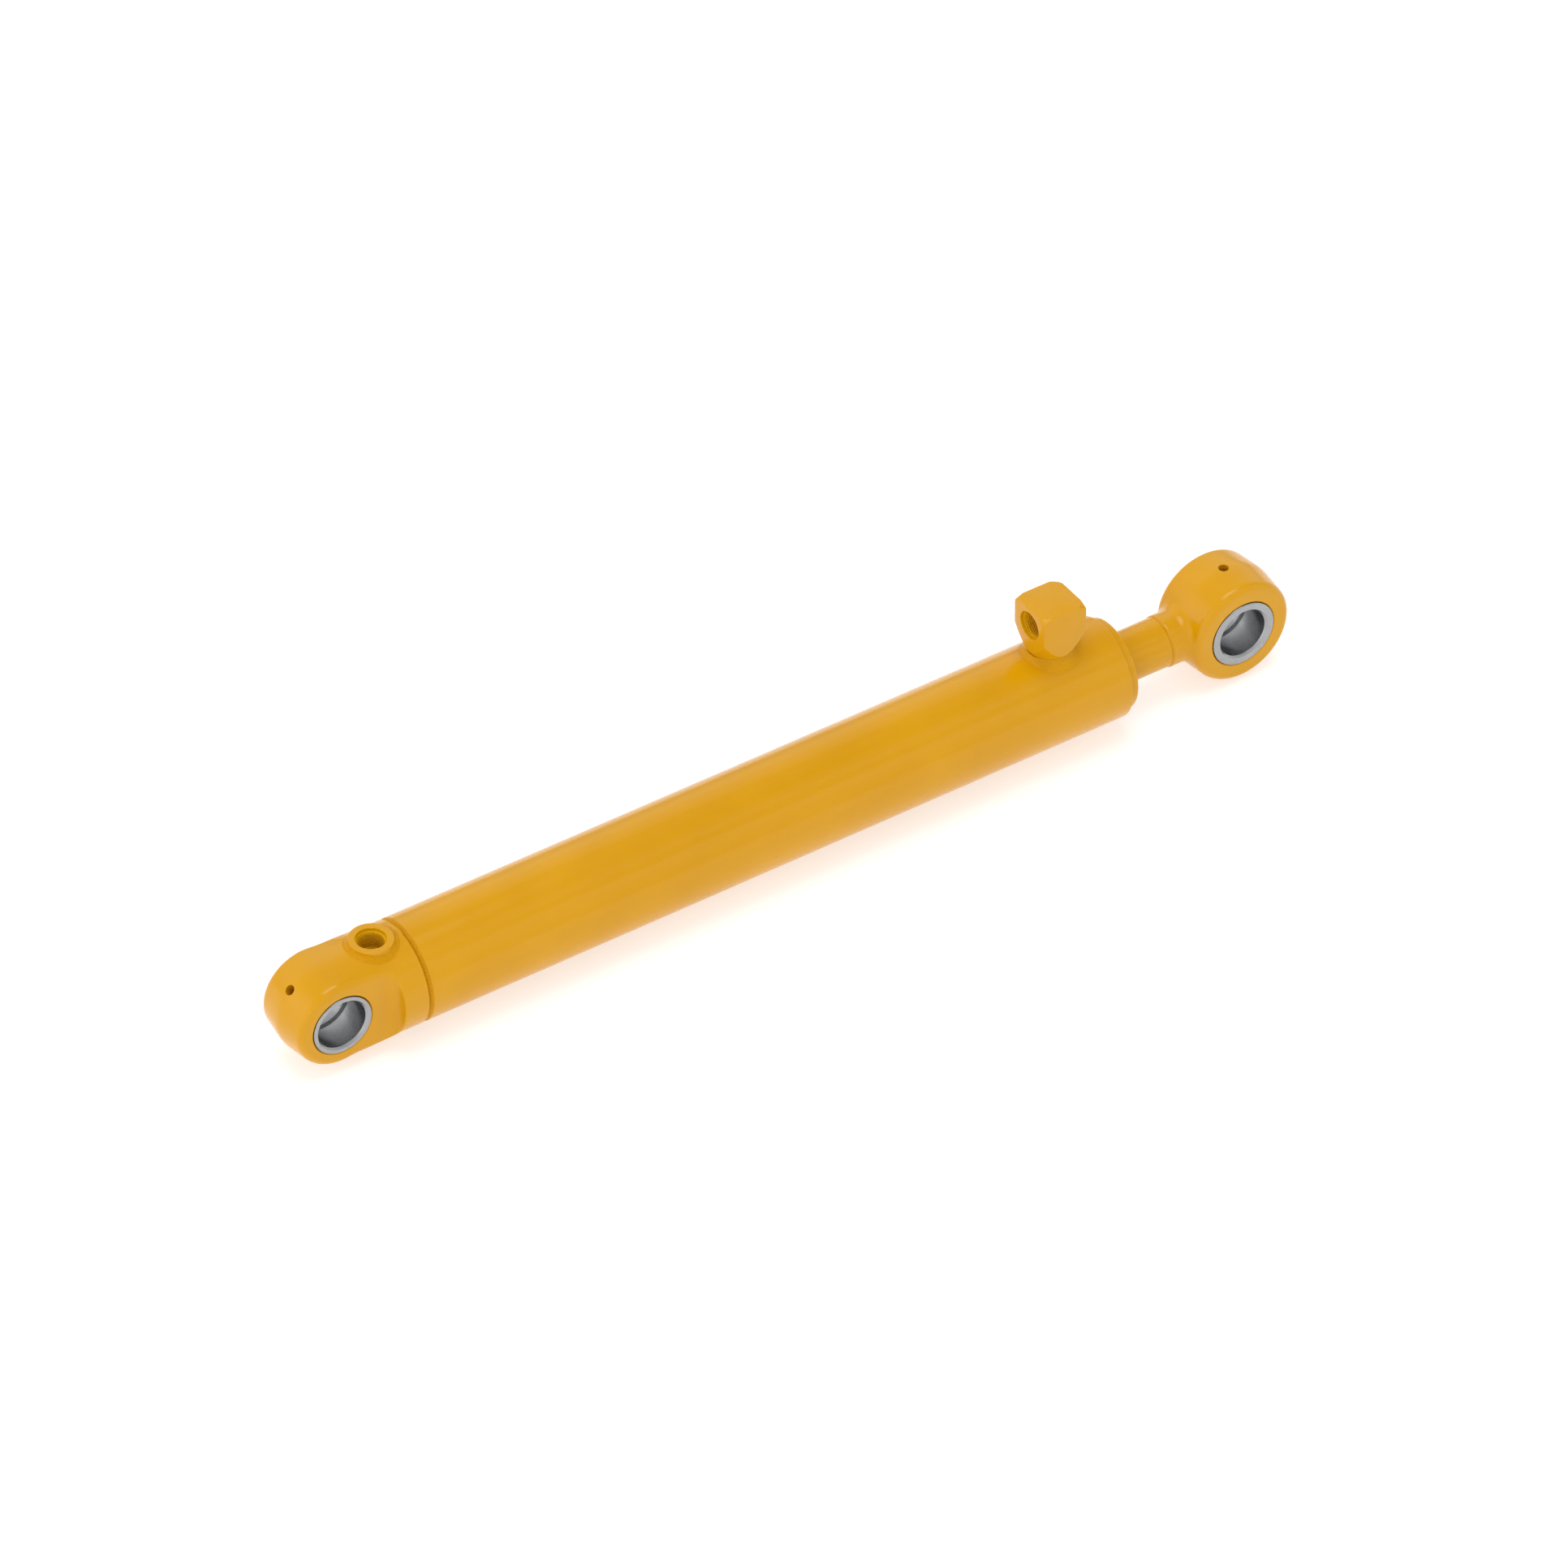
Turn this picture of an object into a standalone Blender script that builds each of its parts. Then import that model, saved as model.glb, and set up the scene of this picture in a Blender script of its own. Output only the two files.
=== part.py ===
"""Double-acting welded hydraulic cylinder, closed, with a forged eye and a pressed bushing at each end.

The origin is the centre of the cap eye's pin hole. +X runs along the rod to the rod eye, Y is the pin
direction of both eyes, and +Z is the side that both oil ports stand on.
"""
import math

import bmesh
import bpy
from mathutils import Matrix

MM = 0.001
GAP = 0.3 * MM
SEGMENTS = 32
INNER_SEGMENTS = 24

# driving dimensions
TUBE_R = 30.5 * MM
BORE_R = 25.0 * MM
ROD_R = 14.9 * MM
PIN_R = 15.0 * MM
PIN_TO_PIN = 598.7 * MM
STROKE = 355.0 * MM
PORT_R = 8.7 * MM
PORT_RECESS = 2.2 * MM
PORT_THREAD_R = 7.5 * MM
PORT_DEPTH = 12.6 * MM
PASSAGE_R = 5.5 * MM
GREASE_R = 3.0 * MM

# tube and cap, along X
CAP_END = 49.3 * MM
TUBE_START = 52.5 * MM
TUBE_END = 516.7 * MM
SPIGOT_END = 60.0 * MM
SPIGOT_R = BORE_R - GAP
NUT_POCKET_R = 17.9 * MM
NUT_POCKET_START = 41.5 * MM

# cap eye
CAP_FACE_Y = 20.3 * MM
CAP_CHEEK_Y = 20.0 * MM
CAP_RIDGE_R = 29.4 * MM
CAP_DRAFT = 0.138
CAP_BUSHING_R = 18.6 * MM
CAP_BUSHING_Y = 20.8 * MM
STEP_X = 34.2 * MM
STEP_FILLET = 8.0 * MM
EYE_ROUNDING = 4.0 * MM
CAP_GREASE_ANGLE = math.radians(135)

# rod eye
ROD_FACE_Y = 20.6 * MM
ROD_RIDGE_R = 33.9 * MM
ROD_DRAFT = 0.116
ROD_BUSHING_R = 20.6 * MM
ROD_BUSHING_Y = 21.1 * MM
NECK_R = 15.5 * MM
NECK_START = 554.3 * MM
NECK_END = 565.3 * MM
ROOT_X = 0.5 * (NECK_START + NECK_END)
ROOT_R = 4.0 * MM

# ports
CAP_PORT_X = 31.7 * MM
CAP_PORT_TOP = 32.6 * MM
CAP_BOSS_R = 12.9 * MM
CAP_BOSS_SEAT = 18.9 * MM
ELBOW_X = 480.3 * MM
ELBOW_HALF = 14.25 * MM
ELBOW_TOP = 64.2 * MM
ELBOW_PORT_Z = 52.6 * MM
ELBOW_FOOT_Z = 32.6 * MM
ELBOW_FOOT_R = 13.4 * MM
ELBOW_SPIGOT_R = 10.0 * MM

# piston, which stands on the cap's spigot when the rod is in
PISTON_START = SPIGOT_END + GAP
PISTON_END = PISTON_START + 38 * MM
PISTON_R = BORE_R - 0.6 * MM
PISTON_RING_R = BORE_R - GAP
STUB_R = 11.0 * MM
THREAD_R = 9.7 * MM
NUT_HEIGHT = 16.0 * MM
NUT_FLATS = 30.0 * MM
GUIDE_GROOVE_R = 22.0 * MM
SEAL_GROOVE_R = 19.5 * MM
ORING_GROOVE_R = 13.4 * MM

# head gland
GLAND_START = PISTON_END + STROKE + GAP
GLAND_NOSE_END = 487.5 * MM
GLAND_NOSE_R = 21.5 * MM
GLAND_FACE = 522.5 * MM
GLAND_HEAD_R = 27.5 * MM
GLAND_BORE_R = ROD_R + 0.4 * MM
STATIC_GROOVE = (489.5 * MM, 496.5 * MM)
STATIC_GROOVE_R = 21.6 * MM
WIPER_START = 514.5 * MM
WIPER_SEAT_R = 20.0 * MM
ROD_SEAL = (504.0 * MM, 511.0 * MM)
BUFFER_SEAL = (495.5 * MM, 501.0 * MM)
ROD_SEAL_SEAT_R = 19.6 * MM
OUTER_GUIDE = (477.0 * MM, 487.0 * MM)
INNER_GUIDE = (459.0 * MM, 469.0 * MM)
GUIDE_SEAT_R = 17.4 * MM

PAINT = (0.73, 0.37, 0.026)
STEEL = (0.36, 0.37, 0.38)
BRIGHT_STEEL = (0.55, 0.56, 0.57)
CAST = (0.20, 0.20, 0.21)
RUBBER = (0.015, 0.015, 0.016)
POLYURETHANE = (0.05, 0.16, 0.30)
PHENOLIC = (0.16, 0.07, 0.03)
PTFE = (0.10, 0.085, 0.07)


def clear_scene():
    for obj in list(bpy.data.objects):
        bpy.data.objects.remove(obj, do_unlink=True)


def new_collection(name):
    collection = bpy.data.collections.new(name)
    bpy.context.scene.collection.children.link(collection)
    return collection


def finish_material(name, colour, roughness, metallic):
    material = bpy.data.materials.new(name)
    material.use_nodes = True
    shader = material.node_tree.nodes["Principled BSDF"]
    shader.inputs["Base Color"].default_value = (*colour, 1)
    shader.inputs["Roughness"].default_value = roughness
    shader.inputs["Metallic"].default_value = metallic
    material.diffuse_color = (*colour, 1)
    return material


def place(obj, collection, colour=None, roughness=0.4, metallic=0.0):
    """Links an object to its collection, gives it its own material and shades it smooth."""
    collection.objects.link(obj)
    if colour is not None:
        obj.data.materials.append(finish_material(obj.name, colour, roughness, metallic))
        obj.data.shade_smooth()
        obj.data.set_sharp_from_angle(angle=math.radians(35))
    return obj


def painted(obj):
    return place(obj, parts, PAINT, 0.38)


def steel(obj):
    return place(obj, parts, STEEL, 0.35, 1.0)


def soft(obj, colour, roughness=0.6):
    return place(obj, parts, colour, roughness)


def cutter(obj):
    """A cutter is drawn as a wire and never rendered."""
    cutters.objects.link(obj)
    obj.hide_render = True
    obj.display_type = "WIRE"
    return obj


def turned(name, profile, axis="X", centre=(0, 0, 0), segments=SEGMENTS):
    """A solid turned about an axis through centre.

    The profile lists (distance along the axis, radius), from low to high along the outside. A ring's
    profile goes on, back along its inside, and is closed. A solid piece's starts and ends at radius 0.
    """
    mesh = bpy.data.meshes.new(name)
    edit = bmesh.new()
    points = [edit.verts.new((radius, 0, along)) for along, radius in reversed(profile)]
    for first, second in zip(points, points[1:]):
        edit.edges.new((first, second))
    if profile[0][1] > 0:
        edit.edges.new((points[-1], points[0]))
    edit.to_mesh(mesh)
    edit.free()
    obj = bpy.data.objects.new(name, mesh)
    screw = obj.modifiers.new("Turn", "SCREW")
    screw.axis = "Z"
    screw.steps = screw.render_steps = segments
    screw.use_merge_vertices = True
    screw.merge_threshold = 0.01 * MM
    obj.location = centre
    obj.rotation_euler = {"X": (0, math.pi / 2, 0), "Y": (-math.pi / 2, 0, 0), "Z": (0, 0, 0)}[axis]
    return obj


def ring(name, start, end, inner, outer, chamfer=0.0):
    """A ring of rectangular section about X, with its outer edges chamfered."""
    profile = [(start, inner), (start, outer - chamfer)]
    if chamfer:
        profile += [(start + chamfer, outer), (end - chamfer, outer)]
    profile += [(end, outer - chamfer), (end, inner)]
    return turned(name, profile, segments=INNER_SEGMENTS)


def rod_cutter(name, start, end, radius, axis="X", centre=(0, 0, 0), segments=INNER_SEGMENTS):
    profile = [(start, 0), (start, radius), (end, radius), (end, 0)]
    return cutter(turned(name, profile, axis, centre, segments))


def block(name, size, centre):
    mesh = bpy.data.meshes.new(name)
    edit = bmesh.new()
    bmesh.ops.create_cube(edit, size=1, matrix=Matrix.Diagonal((*size, 1)))
    edit.to_mesh(mesh)
    edit.free()
    obj = bpy.data.objects.new(name, mesh)
    obj.location = centre
    return obj


def combine(target, tool, operation):
    """Joins or cuts, then welds the slivers shorter than a hundredth of a millimetre that this leaves."""
    modifier = target.modifiers.new(f"{operation.title()} {tool.name}", "BOOLEAN")
    modifier.operation = operation
    modifier.object = tool
    modifier.solver = "EXACT"
    weld = target.modifiers.new("Weld slivers", "WELD")
    weld.merge_threshold = 0.01 * MM


def round_corner(a, b, radius):
    """Where two surfaces cross, seen as distances outside them, their corner rounded to a radius."""
    return min(max(a, b), -radius) + math.hypot(max(a + radius, 0), max(b + radius, 0))


def outside_cap(x, y, z):
    """How far a point lies outside the forged cap: a drafted block that becomes the round flange."""
    block_top = (z + CAP_DRAFT * y - CAP_RIDGE_R) / math.hypot(1, CAP_DRAFT)
    share = min(1.0, x / STEP_X)
    loft = (1 - share) * block_top + share * (math.hypot(y, z) - TUBE_R)
    cheek = -round_corner(CAP_CHEEK_Y - y, x - STEP_X, STEP_FILLET)
    return round_corner(loft, cheek, EYE_ROUNDING) if x < STEP_X else loft


def cap_section(x, grow, count=SEGMENTS):
    """The cap's section at x, found along rays from its axis."""
    points = []
    for step in range(count):
        angle = 2 * math.pi * step / count
        across, up = math.cos(angle), math.sin(angle)
        low, high = 10 * MM, 40 * MM
        for _ in range(30):
            middle = 0.5 * (low + high)
            inside = outside_cap(x, middle * abs(across), middle * abs(up)) < 0
            low, high = (middle, high) if inside else (low, middle)
        points.append((x, (low + grow) * across, (low + grow) * up))
    return points


def cap_body(name, grow=0.0):
    """A loft through the cap's sections."""
    stations = [3 * MM, 10 * MM, 18 * MM]
    stations += [STEP_X - STEP_FILLET * share for share in (1, 0.65, 0.35, 0.15, 0.03)]
    stations += [STEP_X + 0.3 * MM, CAP_END]
    mesh = bpy.data.meshes.new(name)
    edit = bmesh.new()
    rings = [[edit.verts.new(point) for point in cap_section(x, grow)] for x in stations]
    for low, high in zip(rings, rings[1:]):
        for k in range(len(low)):
            after = (k + 1) % len(low)
            edit.faces.new((low[k], high[k], high[after], low[after]))
    edit.faces.new(rings[0])
    edit.faces.new(reversed(rings[-1]))
    bmesh.ops.recalc_face_normals(edit, faces=edit.faces)
    edit.to_mesh(mesh)
    edit.free()
    return bpy.data.objects.new(name, mesh)


def eye_profile(face_y, ridge_r, draft):
    """A forged eye's outline: a ridge on the parting line, drafted to a rounded rim on each face."""
    rim_y = face_y - EYE_ROUNDING
    rim_r = ridge_r - draft * rim_y
    corner = 0.3 * EYE_ROUNDING
    half = [
        (rim_y, rim_r),
        (face_y - corner, rim_r - corner),
        (face_y, rim_r - EYE_ROUNDING),
        (face_y, 0),
    ]
    return [(-along, radius) for along, radius in reversed(half)] + [(0, ridge_r)] + half


def grease_cutter(name, centre, angle, reach):
    """A drilled grease hole from the eye's outside into its bore, in the XZ plane."""
    tool = rod_cutter(name, 0, reach, GREASE_R, "Z", centre, 16)
    tool.rotation_euler = (0, math.pi / 2 - angle, 0)
    return tool


def make_cap():
    eye = cutter(turned("cap_eye_ring", eye_profile(CAP_FACE_Y, CAP_RIDGE_R, CAP_DRAFT), "Y"))
    spigot = [
        (SPIGOT_END - 20 * MM, 0),
        (SPIGOT_END - 20 * MM, SPIGOT_R),
        (SPIGOT_END - 1 * MM, SPIGOT_R),
        (SPIGOT_END, SPIGOT_R - 1 * MM),
        (SPIGOT_END, 0),
    ]
    cap = painted(cap_body("cap_end_eye"))
    combine(cap, eye, "UNION")
    combine(cap, cutter(turned("cap_spigot", spigot)), "UNION")
    bore = rod_cutter("cap_eye_bore", -40 * MM, 40 * MM, CAP_BUSHING_R + GAP, "Y", segments=SEGMENTS)
    pocket = rod_cutter("nut_pocket", NUT_POCKET_START, 70 * MM, NUT_POCKET_R)
    seat_centre = (CAP_PORT_X, 0, 0)
    seat = rod_cutter("boss_seat", CAP_BOSS_SEAT - GAP, 40 * MM, CAP_BOSS_R + GAP, "Z", seat_centre)
    down = rod_cutter("cap_passage_down", -PASSAGE_R, 40 * MM, PASSAGE_R, "Z", seat_centre)
    along = rod_cutter("cap_passage_along", CAP_PORT_X, 50 * MM, PASSAGE_R - 0.4 * MM)
    grease = grease_cutter("cap_grease_hole", (0, 0, 0), CAP_GREASE_ANGLE, 40 * MM)
    for tool in (bore, pocket, seat, down, along, grease):
        combine(cap, tool, "DIFFERENCE")


def make_bushing(name, centre, half_y, outer, grease_angle):
    """A pressed steel bushing with a grease groove round the middle of its bore."""
    edge, groove_half, groove_depth, lip = 0.8 * MM, 1.7 * MM, 1.2 * MM, 0.5 * MM
    profile = [
        (-half_y, PIN_R + edge),
        (-half_y, outer - edge),
        (-half_y + edge, outer),
        (half_y - edge, outer),
        (half_y, outer - edge),
        (half_y, PIN_R + edge),
        (half_y - edge, PIN_R),
        (groove_half + lip, PIN_R),
        (groove_half, PIN_R + groove_depth),
        (-groove_half, PIN_R + groove_depth),
        (-groove_half - lip, PIN_R),
        (-half_y + edge, PIN_R),
    ]
    bushing = steel(turned(name, profile, "Y", centre))
    hole = rod_cutter(name + "_oil_hole", PIN_R - 3 * MM, outer + 3 * MM, 1.6 * MM, "Z", centre, 12)
    hole.rotation_euler = (0, math.pi / 2 - grease_angle, 0)
    combine(bushing, hole, "DIFFERENCE")


def make_tube():
    """The honed tube, bevelled for the cap's weld, with its mouth chamfered to take the gland."""
    bevel = 2.6 * MM
    profile = [
        (TUBE_START - bevel + GAP, BORE_R),
        (TUBE_START - bevel + GAP, BORE_R + 1 * MM),
        (TUBE_START, TUBE_R - 0.6 * MM),
        (TUBE_START, TUBE_R),
        (TUBE_END - 0.8 * MM, TUBE_R),
        (TUBE_END, TUBE_R - 0.8 * MM),
        (TUBE_END, BORE_R + 1.2 * MM),
        (TUBE_END - 1.2 * MM, BORE_R),
    ]
    tube = painted(turned("barrel_tube", profile))
    combine(tube, rod_cutter("tube_port", 20 * MM, 40 * MM, PASSAGE_R, "Z", (ELBOW_X, 0, 0)), "DIFFERENCE")
    weld = [
        (CAP_END + GAP, BORE_R),
        (CAP_END + GAP, TUBE_R - 2.2 * MM),
        (0.5 * (CAP_END + TUBE_START), TUBE_R - 1.3 * MM),
        (TUBE_START - GAP, TUBE_R - 0.4 * MM),
        (TUBE_START - GAP, TUBE_R - 0.9 * MM),
        (TUBE_START - bevel, BORE_R + 1 * MM),
        (TUBE_START - bevel, BORE_R),
    ]
    painted(turned("cap_weld_bead", weld))


def tube_skin(name, start, end):
    """The tube's outside grown by a gap, which shapes what stands on it."""
    return rod_cutter(name, start, end, TUBE_R + GAP, segments=SEGMENTS)


def make_cap_port():
    centre = (CAP_PORT_X, 0, 0)
    boss = [
        (CAP_BOSS_SEAT, PASSAGE_R),
        (CAP_BOSS_SEAT, CAP_BOSS_R),
        (CAP_PORT_TOP - 0.6 * MM, CAP_BOSS_R),
        (CAP_PORT_TOP, CAP_BOSS_R - 0.6 * MM),
        (CAP_PORT_TOP, PORT_R),
        (CAP_PORT_TOP - PORT_RECESS, PORT_R),
        (CAP_PORT_TOP - PORT_RECESS, PORT_THREAD_R),
        (CAP_PORT_TOP - PORT_DEPTH, PORT_THREAD_R),
        (CAP_PORT_TOP - PORT_DEPTH, PASSAGE_R),
    ]
    painted(turned("cap_port_boss", boss, "Z", centre, INNER_SEGMENTS))
    inner = CAP_BOSS_R + GAP
    weld = [
        (22 * MM, inner),
        (22 * MM, inner + 2.6 * MM),
        (28.2 * MM, inner + 2.1 * MM),
        (30.3 * MM, inner + 1.3 * MM),
        (31.9 * MM, inner + 0.4 * MM),
        (31.9 * MM, inner),
    ]
    bead = painted(turned("cap_port_weld", weld, "Z", centre, INNER_SEGMENTS))
    combine(bead, cutter(cap_body("cap_skin", grow=GAP)), "DIFFERENCE")


def make_elbow():
    """A square bar with both ends turned, drilled down its middle and from the side facing the cap."""
    corner = ELBOW_HALF * math.sqrt(2) + 1 * MM
    centre = (ELBOW_X, 0, 0)
    turned_ends = [
        (25 * MM, 0),
        (25 * MM, ELBOW_SPIGOT_R),
        (ELBOW_FOOT_Z, ELBOW_SPIGOT_R),
        (ELBOW_FOOT_Z, ELBOW_FOOT_R),
        (34.5 * MM, 14.6 * MM),
        (49.0 * MM, corner),
        (ELBOW_TOP - 2.9 * MM, corner),
        (ELBOW_TOP, 16.8 * MM),
        (ELBOW_TOP, 0),
    ]
    height = ELBOW_TOP - 20 * MM
    size = (2 * ELBOW_HALF, 2 * ELBOW_HALF, height)
    elbow = painted(block("rod_port_elbow", size, (ELBOW_X, 0, ELBOW_TOP - height / 2)))
    combine(elbow, cutter(turned("elbow_turning", turned_ends, "Z", centre, INNER_SEGMENTS)), "INTERSECT")
    combine(elbow, tube_skin("tube_skin", ELBOW_X - 40 * MM, ELBOW_X + 30 * MM), "DIFFERENCE")
    face_x = ELBOW_X - ELBOW_HALF
    port = [
        (face_x - 5 * MM, 0),
        (face_x - 5 * MM, PORT_R),
        (face_x + PORT_RECESS, PORT_R),
        (face_x + PORT_RECESS, PORT_THREAD_R),
        (face_x + PORT_DEPTH, PORT_THREAD_R),
        (face_x + PORT_DEPTH, PASSAGE_R),
        (ELBOW_X, PASSAGE_R),
        (ELBOW_X, 0),
    ]
    port_cutter = cutter(turned("elbow_port", port, "X", (0, 0, ELBOW_PORT_Z), INNER_SEGMENTS))
    combine(elbow, port_cutter, "DIFFERENCE")
    drilling = rod_cutter("elbow_drilling", 20 * MM, ELBOW_PORT_Z, PASSAGE_R, "Z", centre)
    combine(elbow, drilling, "DIFFERENCE")
    inner = ELBOW_SPIGOT_R + GAP
    weld = [
        (20 * MM, inner),
        (20 * MM, 16.2 * MM),
        (26.5 * MM, 15.6 * MM),
        (29.5 * MM, 13.9 * MM),
        (ELBOW_FOOT_Z - GAP, 13.1 * MM),
        (ELBOW_FOOT_Z - GAP, inner),
    ]
    bead = painted(turned("rod_port_weld", weld, "Z", centre, INNER_SEGMENTS))
    combine(bead, tube_skin("tube_skin_2", ELBOW_X - 30 * MM, ELBOW_X + 35 * MM), "DIFFERENCE")


def make_gland():
    """The head gland with the grooves for its seals, cut as one turned profile."""
    def groove(start, end, radius):
        return [(end, GLAND_BORE_R), (end, radius), (start, radius), (start, GLAND_BORE_R)]

    outside = [
        (GLAND_START, GLAND_BORE_R + 1 * MM),
        (GLAND_START, GLAND_NOSE_R - 1 * MM),
        (GLAND_START + 1 * MM, GLAND_NOSE_R),
        (GLAND_NOSE_END, GLAND_NOSE_R),
        (GLAND_NOSE_END, SPIGOT_R),
        (STATIC_GROOVE[0], SPIGOT_R),
        (STATIC_GROOVE[0], STATIC_GROOVE_R),
        (STATIC_GROOVE[1], STATIC_GROOVE_R),
        (STATIC_GROOVE[1], SPIGOT_R),
        (TUBE_END + GAP, SPIGOT_R),
        (TUBE_END + GAP, GLAND_HEAD_R - 0.5 * MM),
        (TUBE_END + GAP + 0.5 * MM, GLAND_HEAD_R),
        (GLAND_FACE - 1 * MM, GLAND_HEAD_R),
        (GLAND_FACE, GLAND_HEAD_R - 1 * MM),
        (GLAND_FACE, WIPER_SEAT_R),
        (WIPER_START, WIPER_SEAT_R),
        (WIPER_START, GLAND_BORE_R),
    ]
    inside = groove(*ROD_SEAL, ROD_SEAL_SEAT_R) + groove(*BUFFER_SEAL, ROD_SEAL_SEAT_R)
    inside += groove(*OUTER_GUIDE, GUIDE_SEAT_R) + groove(*INNER_GUIDE, GUIDE_SEAT_R)
    inside += [(GLAND_START + 1 * MM, GLAND_BORE_R)]
    gland = painted(turned("head_gland", outside + inside, segments=INNER_SEGMENTS))
    spanner_ring_r = 0.5 * (GLAND_HEAD_R + WIPER_SEAT_R)
    for quarter in range(4):
        angle = math.pi / 4 + quarter * math.pi / 2
        centre = (0, spanner_ring_r * math.cos(angle), spanner_ring_r * math.sin(angle))
        name = f"spanner_hole_{quarter + 1}"
        hole = rod_cutter(name, GLAND_FACE - 4 * MM, GLAND_FACE + 5 * MM, 2.2 * MM, "X", centre, 16)
        combine(gland, hole, "DIFFERENCE")


def ring_in_groove(name, groove, inner, outer, chamfer=0.0):
    return ring(name, groove[0] + GAP, groove[1] - GAP, inner, outer, chamfer=chamfer)


def lip_seal(name, groove, inner, outer):
    """A U-cup: a ring with a V notch in the end that faces the pressure."""
    start, end = groove[0] + GAP, groove[1] - GAP
    middle = 0.5 * (inner + outer)
    notch_half, notch_end = 0.9 * MM, start + 0.55 * (end - start)
    profile = [
        (start, middle + notch_half),
        (start, outer - 0.3 * MM),
        (start + 1 * MM, outer),
        (end, outer),
        (end, inner + 0.3 * MM),
        (start + 1 * MM, inner),
        (start, inner + 0.2 * MM),
        (start, middle - notch_half),
        (notch_end, middle),
    ]
    return turned(name, profile, segments=INNER_SEGMENTS)


def make_gland_seals():
    """Every ring in the gland stands a gap clear of the rod, which slides and turns in them."""
    on_rod = ROD_R + GAP
    soft(lip_seal("rod_seal", ROD_SEAL, on_rod, ROD_SEAL_SEAT_R - GAP), POLYURETHANE)
    soft(lip_seal("rod_buffer_seal", BUFFER_SEAL, on_rod, ROD_SEAL_SEAT_R - GAP), PTFE)
    for name, groove in (("gland_wear_ring_outer", OUTER_GUIDE), ("gland_wear_ring_inner", INNER_GUIDE)):
        soft(ring_in_groove(name, groove, on_rod, GUIDE_SEAT_R - GAP), PHENOLIC, 0.7)
    start, end = STATIC_GROOVE
    split = start + 0.66 * (end - start)
    oring = (start + GAP, split)
    cord_chamfer = 0.9 * MM
    inner = STATIC_GROOVE_R + GAP
    soft(ring("gland_oring", *oring, inner, PISTON_RING_R, chamfer=cord_chamfer), RUBBER)
    soft(ring("gland_backup_ring", split + GAP, end - GAP, inner, PISTON_RING_R), PTFE)
    lip = GLAND_FACE + 1.6 * MM
    wiper = [
        (WIPER_START + GAP, on_rod + 0.6 * MM),
        (WIPER_START + GAP, WIPER_SEAT_R - GAP),
        (GLAND_FACE - 0.5 * MM, WIPER_SEAT_R - GAP),
        (GLAND_FACE - 0.5 * MM, on_rod + 2.4 * MM),
        (lip, on_rod + 0.8 * MM),
        (lip, on_rod),
        (WIPER_START + 3 * MM, on_rod + 0.6 * MM),
    ]
    soft(turned("rod_wiper", wiper, segments=INNER_SEGMENTS), POLYURETHANE)


def piston_grooves():
    """Each ring's groove as (start, end), from the gland's side back to the cap's."""
    length = PISTON_END - PISTON_START
    front = (PISTON_END - 11 * MM, PISTON_END - 4 * MM)
    rear = (PISTON_START + 4 * MM, PISTON_START + 11 * MM)
    seal = (PISTON_START + length / 2 - 4.2 * MM, PISTON_START + length / 2 + 4.2 * MM)
    return rear, seal, front


def make_piston():
    bore = STUB_R + GAP
    profile = [(PISTON_START, bore), (PISTON_START, PISTON_R - 1 * MM), (PISTON_START + 1 * MM, PISTON_R)]
    for (start, end), radius in zip(piston_grooves(), (GUIDE_GROOVE_R, SEAL_GROOVE_R, GUIDE_GROOVE_R)):
        profile += [(start, PISTON_R), (start, radius), (end, radius), (end, PISTON_R)]
    oring_end = PISTON_END - 8 * MM
    oring_start = oring_end - 4.2 * MM
    profile += [
        (PISTON_END - 1 * MM, PISTON_R),
        (PISTON_END, PISTON_R - 1 * MM),
        (PISTON_END, bore),
        (oring_end, bore),
        (oring_end, ORING_GROOVE_R),
        (oring_start, ORING_GROOVE_R),
        (oring_start, bore),
    ]
    place(turned("piston", profile, segments=INNER_SEGMENTS), parts, CAST, 0.45, 1.0)
    oring = ring("piston_oring", oring_start + GAP, oring_end - GAP, bore, ORING_GROOVE_R - GAP)
    soft(oring, RUBBER)


def make_piston_rings():
    rear, seal, front = piston_grooves()
    for name, groove in (("piston_wear_ring_rear", rear), ("piston_wear_ring_front", front)):
        soft(ring_in_groove(name, groove, GUIDE_GROOVE_R + GAP, PISTON_RING_R), PHENOLIC, 0.7)
    split = SEAL_GROOVE_R + 0.5 * (PISTON_RING_R - SEAL_GROOVE_R)
    soft(ring_in_groove("piston_seal_energiser", seal, SEAL_GROOVE_R + GAP, split - GAP / 2), RUBBER)
    soft(ring_in_groove("piston_seal", seal, split + GAP / 2, PISTON_RING_R, 0.6 * MM), PTFE)


def make_rod():
    """The rod, stepped for the piston and threaded for its nut, with its other end bevelled to weld."""
    thread_start = PISTON_START - NUT_HEIGHT - 2 * MM
    profile = [
        (thread_start, 0),
        (thread_start, THREAD_R - 1 * MM),
        (thread_start + 1 * MM, THREAD_R),
        (PISTON_START + 2 * MM, THREAD_R),
        (PISTON_START + 2 * MM, STUB_R),
        (PISTON_END + GAP, STUB_R),
        (PISTON_END + GAP, ROD_R - 0.5 * MM),
        (PISTON_END + GAP + 0.5 * MM, ROD_R),
        (NECK_START - GAP, ROD_R),
        (ROOT_X - GAP, ROOT_R),
        (ROOT_X - GAP, 0),
    ]
    place(turned("piston_rod", profile), parts, BRIGHT_STEEL, 0.12, 1.0)
    weld = [(NECK_START, ROD_R), (NECK_START + 0.4 * MM, NECK_R), (NECK_END - 0.4 * MM, NECK_R)]
    weld += [(NECK_END, ROD_R), (ROOT_X + 0.1 * MM, ROOT_R), (ROOT_X - 0.1 * MM, ROOT_R)]
    painted(turned("rod_eye_weld", weld))


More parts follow.
